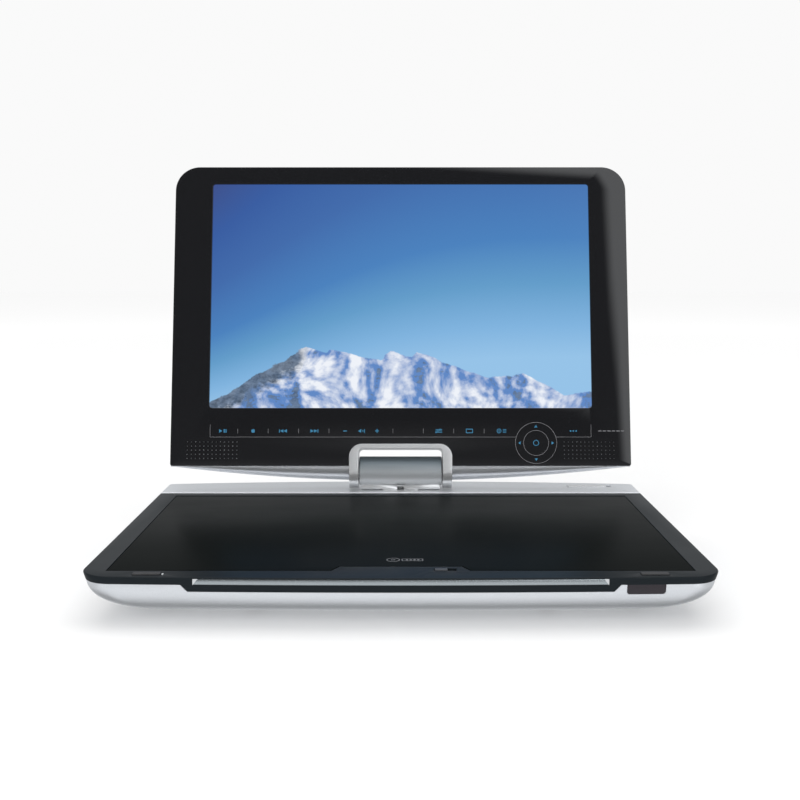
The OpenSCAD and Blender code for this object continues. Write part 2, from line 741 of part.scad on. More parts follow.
// ---------- disc lid ----------
module disc_lid() {
  color([0.03, 0.03, 0.035]) difference() {
    union() {
      translate([0, 0, skin_z]) linear_extrude(wall) lid_shape(lid_gap);
      for (x = [-lid_ear_x, lid_ear_x]) {
        translate([x, lid_axis_y, lid_axis_z]) rotate([0, 90, 0])
          cylinder(r = lid_ear_r, h = lid_ear_t, center = true);
        translate([x - lid_ear_t/2, lid_axis_y - lid_ear_r, lid_axis_z])
          cube([lid_ear_t, lid_ear_r + 1.8, skin_z - lid_axis_z + eps]);
      }
      // tongue that the lock slider's finger enters
      span([lock_x + 6.6, tab_y + lid_gap, skin_z - 2.1],
           [lock_x + 7.8, tab_y + lid_gap + 2.8, skin_z + eps]);
    }
    span([lock_x + 5, tab_y + 1.1, skin_z - 1.45], [lock_x + 9, tab_y + 2.3, skin_z - 0.5]);
    for (x = [-lid_ear_x, lid_ear_x]) translate([x, lid_axis_y, lid_axis_z])
      rotate([0, 90, 0]) cylinder(r = lid_pin_r + run, h = lid_ear_t + 1, center = true);
  }
}

// ---------- drive ----------
module spindle_shaft() {
  foot = plate_top - plate_t - 3.7;
  color("silver") translate([0, spindle_y, foot]) cylinder(r = spindle_r, h = disc_z + 1.6 - foot);
}

module spindle_hub() {
  color([0.12, 0.12, 0.12]) translate([0, spindle_y, 0]) difference() {
    rotate_extrude()
      polygon([[spindle_r, plate_top + 0.4], [4, plate_top + 0.4], [4, disc_z - 1.4],
               [hub_flange_r, disc_z - 1.4], [hub_flange_r, disc_z], [hub_r, disc_z],
               [hub_r, disc_z + 1.4], [hub_r - 0.5, disc_z + 1.8], [0, disc_z + 1.8],
               [0, disc_z + 1.6], [spindle_r, disc_z + 1.6]]);
    for (a = claw_angles) rotate([0, 0, a])
      span([3, -claw_w/2 - slot_gap, disc_z + 0.2], [hub_r + 1, claw_w/2 + slot_gap, deck_z]);
  }
}

module disc_claws() {
  color([0.2, 0.2, 0.2]) translate([0, spindle_y, 0]) for (a = claw_angles) rotate([0, 0, a])
    span([3, -claw_w/2, disc_z + 0.2], [hub_r - 0.3, claw_w/2, disc_z + 1.9]);
}

module pickup_sled() {
  color([0.25, 0.25, 0.27]) difference() {
    union() {
      translate([sled_x0 - sled_len/2, spindle_y - sled_y - 3.2, rod_z - 2.4])
        cube([sled_len, 2*sled_y + 6.4, 4.4]);
      translate([sled_x0 - sled_len/2, spindle_y - 9, rod_z - 2.4])
        cube([sled_len, 18, well_z - rod_z + 2.3]);
      // half nut that reaches under the screw
      translate([sled_x0 - 4, screw_y - 3.4, rod_z - 2.9]) cube([8, 8.4, 2.5]);
    }
    for (y = [-sled_y, sled_y])
      translate([0, spindle_y + y, rod_z]) rotate([0, 90, 0]) cylinder(r = rod_r + run, h = base_w);
    translate([0, screw_y, screw_z]) rotate([0, 90, 0]) cylinder(r = screw_r + 0.5, h = base_w);
    translate([sled_x0, spindle_y, rod_z]) cylinder(r = 3.2, h = 10);
  }
}

module pickup_lens() {
  color([0.5, 0.6, 0.75]) translate([sled_x0, spindle_y, rod_z]) {
    cylinder(r = 3.2, h = well_z - rod_z);
    translate([0, 0, well_z - rod_z - eps]) cylinder(r1 = 2.4, r2 = 1.4, h = 0.8);
  }
}

// ---------- swivel ----------
module swivel_post() {
  color("silver") translate([0, hinge_y, 0]) difference() {
    union() {
      translate([0, 0, skin_z]) cylinder(r = disc_turn_r, h = wall + 0.1);
      translate([0, 0, skin_z - 4.6]) cylinder(r = tube_r, h = 4.7);
      // saddle under the barrel
      span([-barrel_w/2 + 1, -4.2, deck_z + 0.4], [barrel_w/2 - 1, 4.2, axis_z - barrel_r*0.7]);
      span([-9, -4.2, deck_z], [9, 4.2, deck_z + 0.5]);
    }
    translate([0, 0, skin_z - 5]) cylinder(r = tube_bore_r, h = axis_up + 5);
    translate([0, 0, axis_z]) rotate([0, 90, 0]) cylinder(r = barrel_r + 0.02, h = base_w, center = true);
  }
}

module swivel_washer() {
  color("ivory") translate([0, hinge_y, skin_z - 1.4]) difference() {
    cylinder(r = disc_turn_r - 0.6, h = 1.35);
    translate([0, 0, -1]) cylinder(r = tube_r + run, h = 4);
  }
}

module swivel_retainer() {
  color("lightgray") translate([0, hinge_y, skin_z - 4.4]) difference() {
    cylinder(r = tube_r + 2.2, h = 1.4);
    translate([0, 0, -1]) cylinder(r = tube_r, h = 4);
  }
}

module hinge_barrel() {
  color([0.45, 0.48, 0.52]) translate([0, hinge_y, axis_z]) rotate([0, 90, 0]) difference() {
    cylinder(r = barrel_r, h = barrel_w, center = true);
    cylinder(r = shaft_r + run, h = base_w, center = true);
    for (s = [-1, 1]) translate([0, 0, s*(barrel_w/2 - 1.2)])
      cylinder(r = 5.2, h = 2.4 + eps, center = true);
  }
}

module tilt_shaft() {
  color("silver") translate([0, hinge_y, axis_z]) rotate([0, 90, 0])
    cylinder(r = shaft_r, h = bracket_w - 2, center = true);
}

module friction_washers() {
  color("darkgray") translate([0, hinge_y, axis_z]) rotate([0, 90, 0])
    for (s = [-1, 1], k = [0:2])
      translate([0, 0, s*(barrel_w/2 - 2 + 0.8*k)]) difference() {
        cylinder(r = 4.9, h = 0.7, center = true);
        cylinder(r = shaft_r + run, h = 2, center = true);
      }
}

// ---------- display ----------
// Puts its children in the open display: x across, y from front to rear, z up from the tilt axis
module at_display() {
  translate([0, hinge_y, axis_z]) rotate([-lean, 0, 0]) children();
}

// Extrudes a front view from depth v0 to v1
module depth(v0, v1) {
  translate([0, v1, 0]) rotate([90, 0, 0]) linear_extrude(v1 - v0) children();
}

function front_outline(i) =
  let (hw = display_w/2 - i, r = display_corner_r - i/2, b = 1.2)
  let (u0 = glass_up + i, u1 = glass_up + display_h - i)
  concat(arc(hw - r, u1 - r, r, 0, 90, 10), arc(-hw + r, u1 - r, r, 90, 180, 10),
         arc(-hw + b, u0 + b, b, 180, 270, 4), arc(hw - b, u0 + b, b, 270, 360, 4));

module notch_shape(g) {
  w = bracket_w + 2*g;
  r = 6.5;
  translate([-w/2, -20]) square([w, 20 + bracket_up - r]);
  translate([-w/2 + r + g, 0]) square([w - 2*r - 2*g, bracket_up + g]);
  for (x = [-1, 1]) translate([x*(w/2 - r - g), bracket_up - r]) circle(r + g);
}

// Where the rear cover is cut into sections: close together round the corners
function stations(i) =
  let (hw = display_w/2 - i, r = display_corner_r - i/2, m = n_stations)
  concat([for (k = [0:6]) -hw + r*(1 - cos(15*k))],
         [for (k = [1:m - 1]) (hw - r)*(2*k/m - 1)],
         [for (k = [6:-1:0]) hw - r*(1 - cos(15*k))]);

function top_drop(x, i) =
  let (hw = display_w/2 - i, r = display_corner_r - i/2, d = abs(x) - (hw - r))
  d > 0 ? r - sqrt(max(0, r*r - d*d)) : 0;

function rear_v(x) = rear_out - rear_arch*pow(x/(display_w/2), 2);

// Side section of the rear cover at station x, drawn in by i, front face first
function cover_section(x, i) =
  let (q = 1 - pow(x/(display_w/2), 2), t = rear_v(x) - i, e = min(edge_r, 0.8*(t - back_v)))
  let (top = glass_up + display_h - i - top_drop(x, i), low = max(0.2, chin*q - 0.6*i))
  let (a = (t - back_v)/2)
  concat(
    [[x, back_v, glass_up + i], [x, back_v, top]],
    [for (k = [0:6]) [x, t - e + e*sin(15*k), top - e + e*cos(15*k)]],
    [for (k = [0:9]) [x, back_v + a + a*cos(18*k), glass_up + i - low*sin(18*k)]]);

// The closed body of the rear cover
module cover_body(i) {
  st = stations(i);
  m = len(cover_section(0, 0));
  n = len(st);
  polyhedron(
    points = [for (x = st) each cover_section(x, i)],
    faces = concat(
      [for (k = [1:m - 2]) [0, k + 1, k]],
      [for (k = [1:m - 2]) [(n - 1)*m, (n - 1)*m + k, (n - 1)*m + k + 1]],
      [for (j = [0:n - 2], k = [0:m - 1]) [j*m + k, j*m + (k + 1) % m, (j + 1)*m + k]],
      [for (j = [0:n - 2], k = [0:m - 1])
        [j*m + (k + 1) % m, (j + 1)*m + (k + 1) % m, (j + 1)*m + k]]));
}

module hinge_bracket() {
  inner_w = bracket_w - 2*arm_w;
  inner_up = bracket_up - bar_t;
  inner_r = 2;
  color("silver") at_display() difference() {
    intersection() {
      depth(-arm_r, arm_r) difference() {
        notch_shape(0);
        // inside of the arms, with rounded corners under the bar
        translate([-inner_w/2, -30]) square([inner_w, 30 + inner_up - inner_r]);
        translate([-inner_w/2 + inner_r, 0]) square([inner_w - 2*inner_r, inner_up]);
        for (x = [-1, 1]) translate([x*(inner_w/2 - inner_r), inner_up - inner_r]) circle(inner_r);
      }
      along_x(-bracket_w, bracket_w) union() {
        circle(arm_r);
        translate([-arm_r, 0]) square([2*arm_r, bracket_up + 1]);
      }
    }
    rotate([0, 90, 0]) cylinder(r = shaft_r, h = bracket_w - 2, center = true);
    for (x = [-hinge_screw_x, hinge_screw_x]) translate([x, 0, bracket_up - 2]) cylinder(r = 1, h = 5);
  }
}

module front_panel() {
  color([0.02, 0.02, 0.025]) at_display() difference() {
    depth(glass_v, back_v) polygon(front_outline(0));
    depth(glass_v - 1, back_v + 1) notch_shape(fit);
    depth(glass_v - 1, back_v + 1)
      translate([0, pic_u + pic_h/2]) round_rect(pic_w, pic_h, 1.5);
    // sound holes in front of each speaker
    for (s = [-1, 1], i = [0:9], j = [0:4])
      translate([s*grille_x + (i - 4.5)*grille_step, glass_v - 1, grille_u + (j - 2)*grille_row])
        rotate([-90, 0, 0]) cylinder(r = grille_r, h = glass_t + 2, $fn = 16);
  }
}

module rear_cover() {
  color("silver") at_display() difference() {
    cover_body(0);
    difference() {
      translate([0, -eps, 0]) cover_body(wall);
      // solid cheeks beside the bracket
      translate([-notch_w/2 - wall, -20, -20]) cube([notch_w + 2*wall, 40, 20 + bracket_up + wall + fit]);
    }
    depth(-20, 20) notch_shape(fit);
    for (p = display_screw_at()) translate([p[0], 0, p[1]]) rotate([-90, 0, 0]) {
      cylinder(r = 1.2, h = 40, center = true);
      translate([0, 0, rear_v(p[0]) - 1]) cylinder(r = 2.4, h = 5);
    }
    for (x = [-hinge_screw_x, hinge_screw_x]) translate([x, 0, 0]) cylinder(r = 1.1, h = ceiling_u + 1);
  }
}

function display_screw_at() =
  [for (x = [-1, 1], u = [glass_up + 18, glass_up + display_h - 14]) [x*(display_w/2 - 9), u]];

module display_screws() {
  color([0.3, 0.3, 0.3]) at_display()
    for (p = display_screw_at()) translate([p[0], back_v + 0.1, p[1]]) rotate([-90, 0, 0]) {
      cylinder(r = 1.1, h = rear_v(p[0]) - back_v - 0.3);
      translate([0, 0, rear_v(p[0]) - back_v - 1]) cylinder(r = 2.2, h = 0.8);
    }
}

module lcd_panel() {
  color([0.2, 0.4, 0.75]) at_display() depth(glass_v + 0.35, back_v)
    translate([0, pic_u + pic_h/2]) round_rect(pic_w - 0.3, pic_h - 0.3, 1.3);
}

module lcd_frame() {
  color("silver") at_display() difference() {
    depth(back_v + 0.1, back_v + 4.2)
      translate([0, pic_u + pic_h/2]) square([pic_w + 8, pic_h + 6], center = true);
    depth(back_v - 1, back_v + 3.6)
      translate([0, pic_u + pic_h/2]) square([pic_w + 6.8, pic_h + 4.8], center = true);
  }
}

module light_guide() {
  color("white") at_display() depth(back_v + 0.1, back_v + 3)
    translate([0, pic_u + pic_h/2 + 1.4]) square([pic_w + 6, pic_h + 1.2], center = true);
}

module backlight_bar() {
  color("ivory") at_display() translate([0, back_v + 1.6, pic_u - 1]) rotate([0, 90, 0])
    cylinder(r = 1, h = pic_w + 2, center = true);
}

module inverter_board() {
  coil_x = -76;
  coil_t = 3;
  // the coil just clears the inside of the rear cover
  v = rear_v(coil_x) - wall - coil_t - 0.4;
  color("green") at_display() {
    translate([coil_x - 4, v - 1, glass_up + 15]) cube([46, 1, 10]);
    translate([coil_x, v, glass_up + 16]) cube([12, coil_t, 8]);
    translate([coil_x + 18, v, glass_up + 17]) cube([10, 2, 6]);
  }
}

module touch_board() {
  color("darkgreen") at_display() {
    translate([-pic_w/2 + 2, back_v + 0.1, glass_up + 14]) cube([pic_w - 4, 1, 11.5]);
    translate([ring_x - 11, back_v + 0.1, glass_up + 1.6]) cube([22, 1, 13]);
  }
}

module hinge_plate() {
  // steel angle that stands on the roof of the bracket's opening
  color("lightgray") at_display() difference() {
    union() {
      translate([-31, -3.6, ceiling_u]) cube([62, 1.2, 12]);
      translate([-31, -3.6, ceiling_u]) cube([62, 7.6, 1.2]);
    }
    for (x = [-hinge_screw_x, hinge_screw_x]) translate([x, 0, 0]) cylinder(r = 1.1, h = ceiling_u + 3);
    for (x = [-27, 27]) translate([x, -10, ceiling_u + 7]) rotate([-90, 0, 0]) cylinder(r = 1.5, h = 20);
  }
}

module hinge_screws() {
  color("silver") at_display() for (x = [-hinge_screw_x, hinge_screw_x]) translate([x, 0, ceiling_u]) {
    translate([0, 0, 1.2]) cylinder(r = 2, h = 1.2);
    translate([0, 0, bracket_up - 2 - ceiling_u]) cylinder(r = 1, h = ceiling_u - bracket_up + 3.3);
  }
}

module speaker(s) {
  at_display() {
    depth(back_v + 0.1, back_v + 1.1) translate([s*grille_x, grille_u]) round_rect(28, 12, 3);
    depth(back_v + 1, back_v + 2.8) translate([s*(grille_x - 3), grille_u]) circle(4.5);
  }
}

module speaker_left() { color([0.2, 0.2, 0.2]) speaker(-1); }

module speaker_right() { color([0.2, 0.2, 0.2]) speaker(1); }

bottom_case();
deck_frame();
hinge_strip();
finger_channel();
ir_window();
battery_cover();
rubber_feet();
case_screws();
closing_pads();
disc_well();
loader_plate();
loader_grommets();
spindle_motor();
guide_rods();
sled_motor();
main_board();
board_chips();
board_shield();
battery_pack();
headphone_jack_front();
headphone_jack_rear();
av_jack();
power_jack();
power_switch_body();
lock_body();
lid_hinge_pins();
swivel_plate();
swivel_screws();
disc_lid();
spindle_hub();
disc_claws();
spindle_shaft();
pickup_sled();
pickup_lens();
sled_screw();
power_slider();
lock_slider();
status_led();
swivel_post();
swivel_washer();
swivel_retainer();
hinge_barrel();
tilt_shaft();
friction_washers();
hinge_bracket();
front_panel();
rear_cover();
lcd_panel();
lcd_frame();
light_guide();
backlight_bar();
inverter_board();
touch_board();
hinge_plate();
hinge_screws();
speaker_left();
speaker_right();
display_screws();
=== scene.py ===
import json
import math

import bmesh
import bpy
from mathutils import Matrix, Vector


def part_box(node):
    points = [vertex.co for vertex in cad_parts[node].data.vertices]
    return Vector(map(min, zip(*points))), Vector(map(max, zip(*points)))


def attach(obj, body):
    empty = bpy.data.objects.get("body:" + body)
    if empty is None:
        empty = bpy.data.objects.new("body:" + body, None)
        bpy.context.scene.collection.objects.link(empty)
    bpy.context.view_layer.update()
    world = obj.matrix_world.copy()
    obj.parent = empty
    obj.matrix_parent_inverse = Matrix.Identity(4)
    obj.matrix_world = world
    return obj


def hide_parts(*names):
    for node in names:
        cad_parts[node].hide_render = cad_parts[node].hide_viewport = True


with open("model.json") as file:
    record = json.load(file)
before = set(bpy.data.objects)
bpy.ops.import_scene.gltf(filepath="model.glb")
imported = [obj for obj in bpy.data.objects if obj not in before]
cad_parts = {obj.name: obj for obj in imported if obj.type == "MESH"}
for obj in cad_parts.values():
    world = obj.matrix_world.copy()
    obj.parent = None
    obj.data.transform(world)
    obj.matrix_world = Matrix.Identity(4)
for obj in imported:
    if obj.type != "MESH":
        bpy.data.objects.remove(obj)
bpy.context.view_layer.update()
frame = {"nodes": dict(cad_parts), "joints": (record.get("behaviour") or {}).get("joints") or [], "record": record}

# Shapes are worked out in millimetres and stored in metres.
MM = 0.001


# ---------- places taken from the frame ----------
def box_mm(node):
    """Lowest and highest corner of a CAD node, in millimetres."""
    low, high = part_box(node)
    return [c / MM for c in low], [c / MM for c in high]


def joint(name):
    return next(j for j in frame["joints"] if j["name"] == name)


CASE_LOW, CASE_HIGH = box_mm("bottom_case")
DECK_LOW, DECK_HIGH = box_mm("deck_frame")
STRIP_HIGH = box_mm("hinge_strip")[1]
HINGE_Y, AXIS_Z = [c / MM for c in joint("display_tilt")["pos_m"][1:]]
DECK_Z = DECK_HIGH[2]
RIM_Z = CASE_HIGH[2]
FLOOR_Z = CASE_LOW[2]
HALF_W = DECK_HIGH[0]
STRIP_Y = DECK_HIGH[1]

# Shape of the base, as in the CAD source
FRONT_BOW = 2.8
BACK_BOW = 7
FRONT_CORNER = 12
BACK_CORNER = 2
HULL_INSET = 18
SIDE_DRAFT = 0.8
WALL = 1.6
FRONT_Y = DECK_LOW[1] + FRONT_BOW - 0.1
BACK_Y = STRIP_HIGH[1] - BACK_BOW + 0.1


def steepest_normal(node):
    """Normal of the CAD node's largest face."""
    faces = frame["nodes"][node].data.polygons
    return max(faces, key=lambda f: f.area).normal


LEAN = math.asin(abs(steepest_normal("lcd_panel").z))


def to_display(p):
    """A world point in millimetres as (across, rearwards, up) from the tilt axis, in the display."""
    y = p[1] - HINGE_Y
    z = p[2] - AXIS_Z
    s, c = math.sin(LEAN), math.cos(LEAN)
    return p[0], y * c - z * s, y * s + z * c


def display_box(node):
    """Lowest and highest corner of a CAD node in the display's own directions."""
    pts = [to_display([c / MM for c in v.co]) for v in frame["nodes"][node].data.vertices]
    return [min(p[k] for p in pts) for k in range(3)], [max(p[k] for p in pts) for k in range(3)]


GLASS_LOW, GLASS_HIGH = display_box("front_panel")
SCREEN_LOW, SCREEN_HIGH = display_box("lcd_panel")
BRACKET_HIGH = display_box("hinge_bracket")[1]

DISPLAY_CORNER = 12.5
CHIN = 7.2
REAR_ARCH = 8.1
EDGE_R = 2.6
GAP = 0.15


# ---------- outlines ----------
def arc(cx, cy, r, a0, a1, n):
    turns = [math.radians(a0 + (a1 - a0) * k / n) for k in range(n + 1)]
    return [(cx + r * math.cos(a), cy + r * math.sin(a)) for a in turns]


def bowed(points, half, bow):
    return [(x, y + bow * (1 - (x / half) ** 2)) for x, y in points]


def case_outline(inset):
    """Plan of the base, drawn in by inset: bowed front and back edges with round corners."""
    half = HALF_W - inset
    rf = FRONT_CORNER + inset / 2
    rb = BACK_CORNER + inset / 2
    front = FRONT_Y + inset
    back = BACK_Y - inset
    steps = 32
    low = arc(-half + rf, front + rf, rf, 180, 270, 16)
    low += [((2 * k / steps - 1) * (half - rf), front) for k in range(1, steps)]
    low += arc(half - rf, front + rf, rf, 270, 360, 16)
    high = arc(half - rb, back - rb, rb, 0, 90, 12)
    high += [((1 - 2 * k / steps) * (half - rb), back) for k in range(1, steps)]
    high += arc(-half + rb, back - rb, rb, 90, 180, 12)
    return bowed(low, half, -FRONT_BOW) + bowed(high, half, BACK_BOW)


def clip_outline(points, y, keep_front):
    """The part of a closed outline on one side of the line at y."""
    out = []
    for a, b in zip(points, points[1:] + points[:1]):
        inside = a[1] < y if keep_front else a[1] > y
        if inside:
            out.append(a)
        if (a[1] - y) * (b[1] - y) < 0:
            t = (y - a[1]) / (b[1] - a[1])
            out.append((a[0] + t * (b[0] - a[0]), y))
    return out


def round_rect(cx, cy, w, h, r, n=6):
    pts = []
    for k, (sx, sy) in enumerate([(1, 1), (-1, 1), (-1, -1), (1, -1)]):
        pts += arc(cx + sx * (w / 2 - r), cy + sy * (h / 2 - r), r, 90 * k, 90 * k + 90, n)
    return pts


def circle(cx, cy, r, n=48):
    return arc(cx, cy, r, 0, 360, n)[:-1]


def grow(points, d):
    """The closed outline moved outwards by d, with mitred corners."""
    if not d:
        return list(points)
    area = sum(a[0] * b[1] - b[0] * a[1] for a, b in zip(points, points[1:] + points[:1]))
    side = 1 if area > 0 else -1
    out = []
    n = len(points)
    for k, p in enumerate(points):
        a = Vector(p) - Vector(points[k - 1])
        b = Vector(points[(k + 1) % n]) - Vector(p)
        na = Vector((a.y, -a.x)).normalized() * side
        nb = Vector((b.y, -b.x)).normalized() * side
        m = (na + nb) / max(0.2, 1 + na.dot(nb))
        out.append((p[0] + d * m.x, p[1] + d * m.y))
    return out


# ---------- mesh helpers ----------
def flat(x, y, z):
    """Plan drawings: x and y on the table, z up."""
    return Vector((x, y, z)) * MM


def in_display(x, v, u):
    """A point of the display, from (across, rearwards, up) at the tilt axis."""
    s, c = math.sin(LEAN), math.cos(LEAN)
    return Vector((x, HINGE_Y + v * c + u * s, AXIS_Z - v * s + u * c)) * MM


def on_front(x, y, z):
    """Drawings on the display: x across, y up, z towards the viewer."""
    return in_display(x, -z, y)


def through_display(x, y, z):
    """Drawings on the display: x across, y up, z rearwards."""
    return in_display(x, z, y)


def on_case_front(x, y, z):
    """Drawings on the base's front edge: x across, y up, z towards the viewer."""
    return flat(x, -z, y)


def on_underside(x, y, z):
    """Drawings on the base's underside: x and y on the table, z downwards."""
    return flat(x, y, -z)


def add_ring(bm, points, z, place):
    return [bm.verts.new(place(x, y, z)) for x, y in points]


def bridge(bm, a, b):
    n = len(a)
    for k in range(n):
        bm.faces.new((a[k], a[(k + 1) % n], b[(k + 1) % n], b[k]))


def fill(bm, rings):
    """Covers the flat region between closed rings of vertices."""
    edges = []
    for ring in rings:
        for a, b in zip(ring, ring[1:] + ring[:1]):
            edges.append(bm.edges.get((a, b)) or bm.edges.new((a, b)))
    bmesh.ops.triangle_fill(bm, use_beauty=True, use_dissolve=False, edges=edges)


def finish_mesh(bm, name, material, body, slot=None, replaces=(), smooth=35):
    """Turns bm into a piece that rides on a body."""
    bmesh.ops.recalc_face_normals(bm, faces=bm.faces)
    mesh = bpy.data.meshes.new(name)
    bm.to_mesh(mesh)
    bm.free()
    piece = bpy.data.objects.new(name, mesh)
    bpy.context.scene.collection.objects.link(piece)
    dress(piece, material, smooth)
    if body:
        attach(piece, body)
    if replaces:
        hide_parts(*replaces)
    return piece


def dress(piece, material, smooth=35):
    """Gives a piece its material and smooth shading with sharp edges kept."""
    mesh = piece.data
    mesh.materials.clear()
    mesh.materials.append(material)
    mesh.polygons.foreach_set("use_smooth", [True] * len(mesh.polygons))
    mesh.set_sharp_from_angle(angle=math.radians(smooth))


def panel_into(bm, outer, holes, z0, z1, edge, place, profile=None):
    """A flat slab with rounded upper edges, and holes with rounded mouths."""
    rounding = [(edge * (1 - math.cos(a)), z1 - edge + edge * math.sin(a))
                for a in (math.radians(22.5 * k) for k in range(5))] if edge else [(0, z1)]
    tops, bottoms = [], []
    sides = profile or [(0, z0)] + rounding
    shapes = [(outer, -1, sides)]
    for h in holes:
        across = [x for x, _ in h]
        small = max(across) - min(across) < 4 * edge
        shapes.append((h, 1, [(0, z0), (0, z1)] if small else [(0, z0)] + rounding))
    for points, sign, steps in shapes:
        last = None
        for inset, z in steps:
            ring = add_ring(bm, grow(points, sign * inset), z, place)
            if last:
                bridge(bm, last, ring)
            else:
                bottoms.append(ring)
            last = ring
        tops.append(last)
    fill(bm, tops)
    fill(bm, bottoms)


def panel(name, outer, z0, z1, material, body, holes=(), edge=0.25, place=flat, profile=None, cut=None,
          **facts):
    bm = bmesh.new()
    panel_into(bm, outer, holes, z0, z1, edge, place, profile)
    piece = finish_mesh(bm, name, material, body, **facts)
    if cut:
        boolean(piece, cut)
        dress(piece, material)
    return piece


def marks(name, shapes, z, material, body, place=on_front, thick=0.03):
    """Printed marks: thin flat shapes, each an outline with its holes."""
    bm = bmesh.new()
    for outer, holes in shapes:
        panel_into(bm, outer, holes, z, z + thick, 0, place)
    return finish_mesh(bm, name, material, body)


def lathe(name, profile, material, body, place, steps=64, **facts):
    """A turned piece: profile is (radius, height) from one end of the axis to the other."""
    bm = bmesh.new()
    rings = []
    for r, h in profile:
        if r < 1e-6:
            rings.append([bm.verts.new(place(0, 0, h))])
        else:
            rings.append([bm.verts.new(place(x, y, h)) for x, y in circle(0, 0, r, steps)])
    for a, b in zip(rings, rings[1:]):
        if len(a) == 1 and len(b) == 1:
            continue
        if len(a) == 1:
            for k in range(steps):
                bm.faces.new((a[0], b[k], b[(k + 1) % steps]))
        elif len(b) == 1:
            for k in range(steps):
                bm.faces.new((a[k], a[(k + 1) % steps], b[0]))
        else:
            bridge(bm, a, b)
    return finish_mesh(bm, name, material, body, **facts)


def block(bm, low, high, place=flat):
    """A plain box, used as a cutter or a small part of a piece."""
    xs, ys, zs = zip(low, high)
    ring = [(xs[0], ys[0]), (xs[1], ys[0]), (xs[1], ys[1]), (xs[0], ys[1])]
    a = add_ring(bm, ring, zs[0], place)
    b = add_ring(bm, ring, zs[1], place)
    bridge(bm, a, b)
    bm.faces.new(a)
    bm.faces.new(b)


def prism(bm, outline, z0, z1, place):
    a = add_ring(bm, outline, z0, place)
    b = add_ring(bm, outline, z1, place)
    bridge(bm, a, b)
    bm.faces.new(a)
    bm.faces.new(b)


def boolean(piece, build_cutter, operation="DIFFERENCE"):
    """Cuts a piece with the solids that build_cutter adds to a bmesh."""
    bm = bmesh.new()
    build_cutter(bm)
    bmesh.ops.recalc_face_normals(bm, faces=bm.faces)
    mesh = bpy.data.meshes.new("cutter")
    bm.to_mesh(mesh)
    bm.free()
    cutter = bpy.data.objects.new("cutter", mesh)
    bpy.context.scene.collection.objects.link(cutter)
    mod = piece.modifiers.new("cut", "BOOLEAN")
    mod.object = cutter
    mod.operation = operation
    mod.solver = "EXACT"
    mod.use_self = True
    dg = bpy.context.evaluated_depsgraph_get()
    cut = bpy.data.meshes.new_from_object(piece.evaluated_get(dg))
    piece.modifiers.clear()
    piece.data = cut
    bpy.data.objects.remove(cutter)


def soften(piece, width, angle=30, segments=3):
    """Rounds a piece's sharp edges by width, in millimetres."""
    weld = piece.modifiers.new("weld", "WELD")
    weld.merge_threshold = 1e-6
    bevel = piece.modifiers.new("bevel", "BEVEL")
    bevel.width = width * MM
    bevel.segments = segments
    bevel.limit_method = "ANGLE"
    bevel.angle_limit = math.radians(angle)
    bevel.harden_normals = False


# ---------- materials ----------
class Shader:
    """A material and short ways to add nodes to it."""

    def __init__(self, name, **values):
        self.mat = bpy.data.materials.new(name)
        self.mat.use_nodes = True
        self.tree = self.mat.node_tree
        self.bsdf = self.tree.nodes["Principled BSDF"]
        self.put(self.bsdf, **values)
        self.place = self.add("TexCoord").outputs["Object"]

    def put(self, node, **values):
        for key, value in values.items():
            socket = node.inputs[key.replace("_", " ")]
            if hasattr(value, "is_output") and value.is_output:
                self.tree.links.new(value, socket)
            else:
                socket.default_value = value

    def add(self, kind, inputs=None, **settings):
        node = self.tree.nodes.new("ShaderNode" + kind)
        for key, value in settings.items():
            setattr(node, key, value)
        for key, value in (inputs or {}).items():
            if hasattr(value, "is_output"):
                self.tree.links.new(value, node.inputs[key])
            else:
                node.inputs[key].default_value = value
        return node

    def math(self, operation, a, b=0.0, c=0.0):
        return self.add("Math", {0: a, 1: b, 2: c}, operation=operation).outputs[0]

    def noise(self, scale, detail=3.0, stretch=None, rough=0.5):
        place = self.place
        if stretch:
            place = self.add("Mapping", {"Vector": place, "Scale": stretch}).outputs[0]
        return self.add("TexNoise", {"Vector": place, "Scale": scale, "Detail": detail,
                                     "Roughness": rough}).outputs["Fac"]

    def relief(self, place):
        """Height of rugged ground at a place."""
        return self.add("TexNoise", {"Vector": place, "Scale": 32.0, "Detail": 6.0, "Roughness": 0.5,
                                     "Distortion": 0.3}).outputs["Fac"]

    def between(self, fac, low, high):
        """fac from 0 to 1 as a value between low and high."""
        return self.add("MapRange", {0: fac, 1: 0.25, 2: 0.75, 3: low, 4: high}).outputs[0]

    def blend(self, fac, a, b):
        node = self.add("Mix", data_type="RGBA")
        for key, value in ((0, fac), (6, a), (7, b)):
            if hasattr(value, "is_output"):
                self.tree.links.new(value, node.inputs[key])
            else:
                node.inputs[key].default_value = value
        return node.outputs[2]

    def bump(self, height, strength, distance):
        node = self.add("Bump", {"Height": height, "Strength": strength, "Distance": distance * MM})
        self.put(self.bsdf, Normal=node.outputs[0])


def tint(color, factor):
    return [min(1, c * factor) for c in color] + [1]


def surface(name, color, metallic=0.0, rough=(0.3, 0.4), vary=0.06, patch=60, grain=900, relief=0.02,
            stretch=None, **values):
    """A material with patches of tone, uneven gloss and a fine grain."""
    s = Shader(name, Metallic=metallic, **values)
    tone = s.noise(patch, 3, stretch)
    s.put(s.bsdf, Base_Color=s.blend(tone, tint(color, 1 - vary), tint(color, 1 + vary)))
    s.put(s.bsdf, Roughness=s.between(s.noise(patch * 1.7, 4, stretch), *rough))
    s.bump(s.noise(grain, 2, stretch), 0.5, relief)
    return s.mat


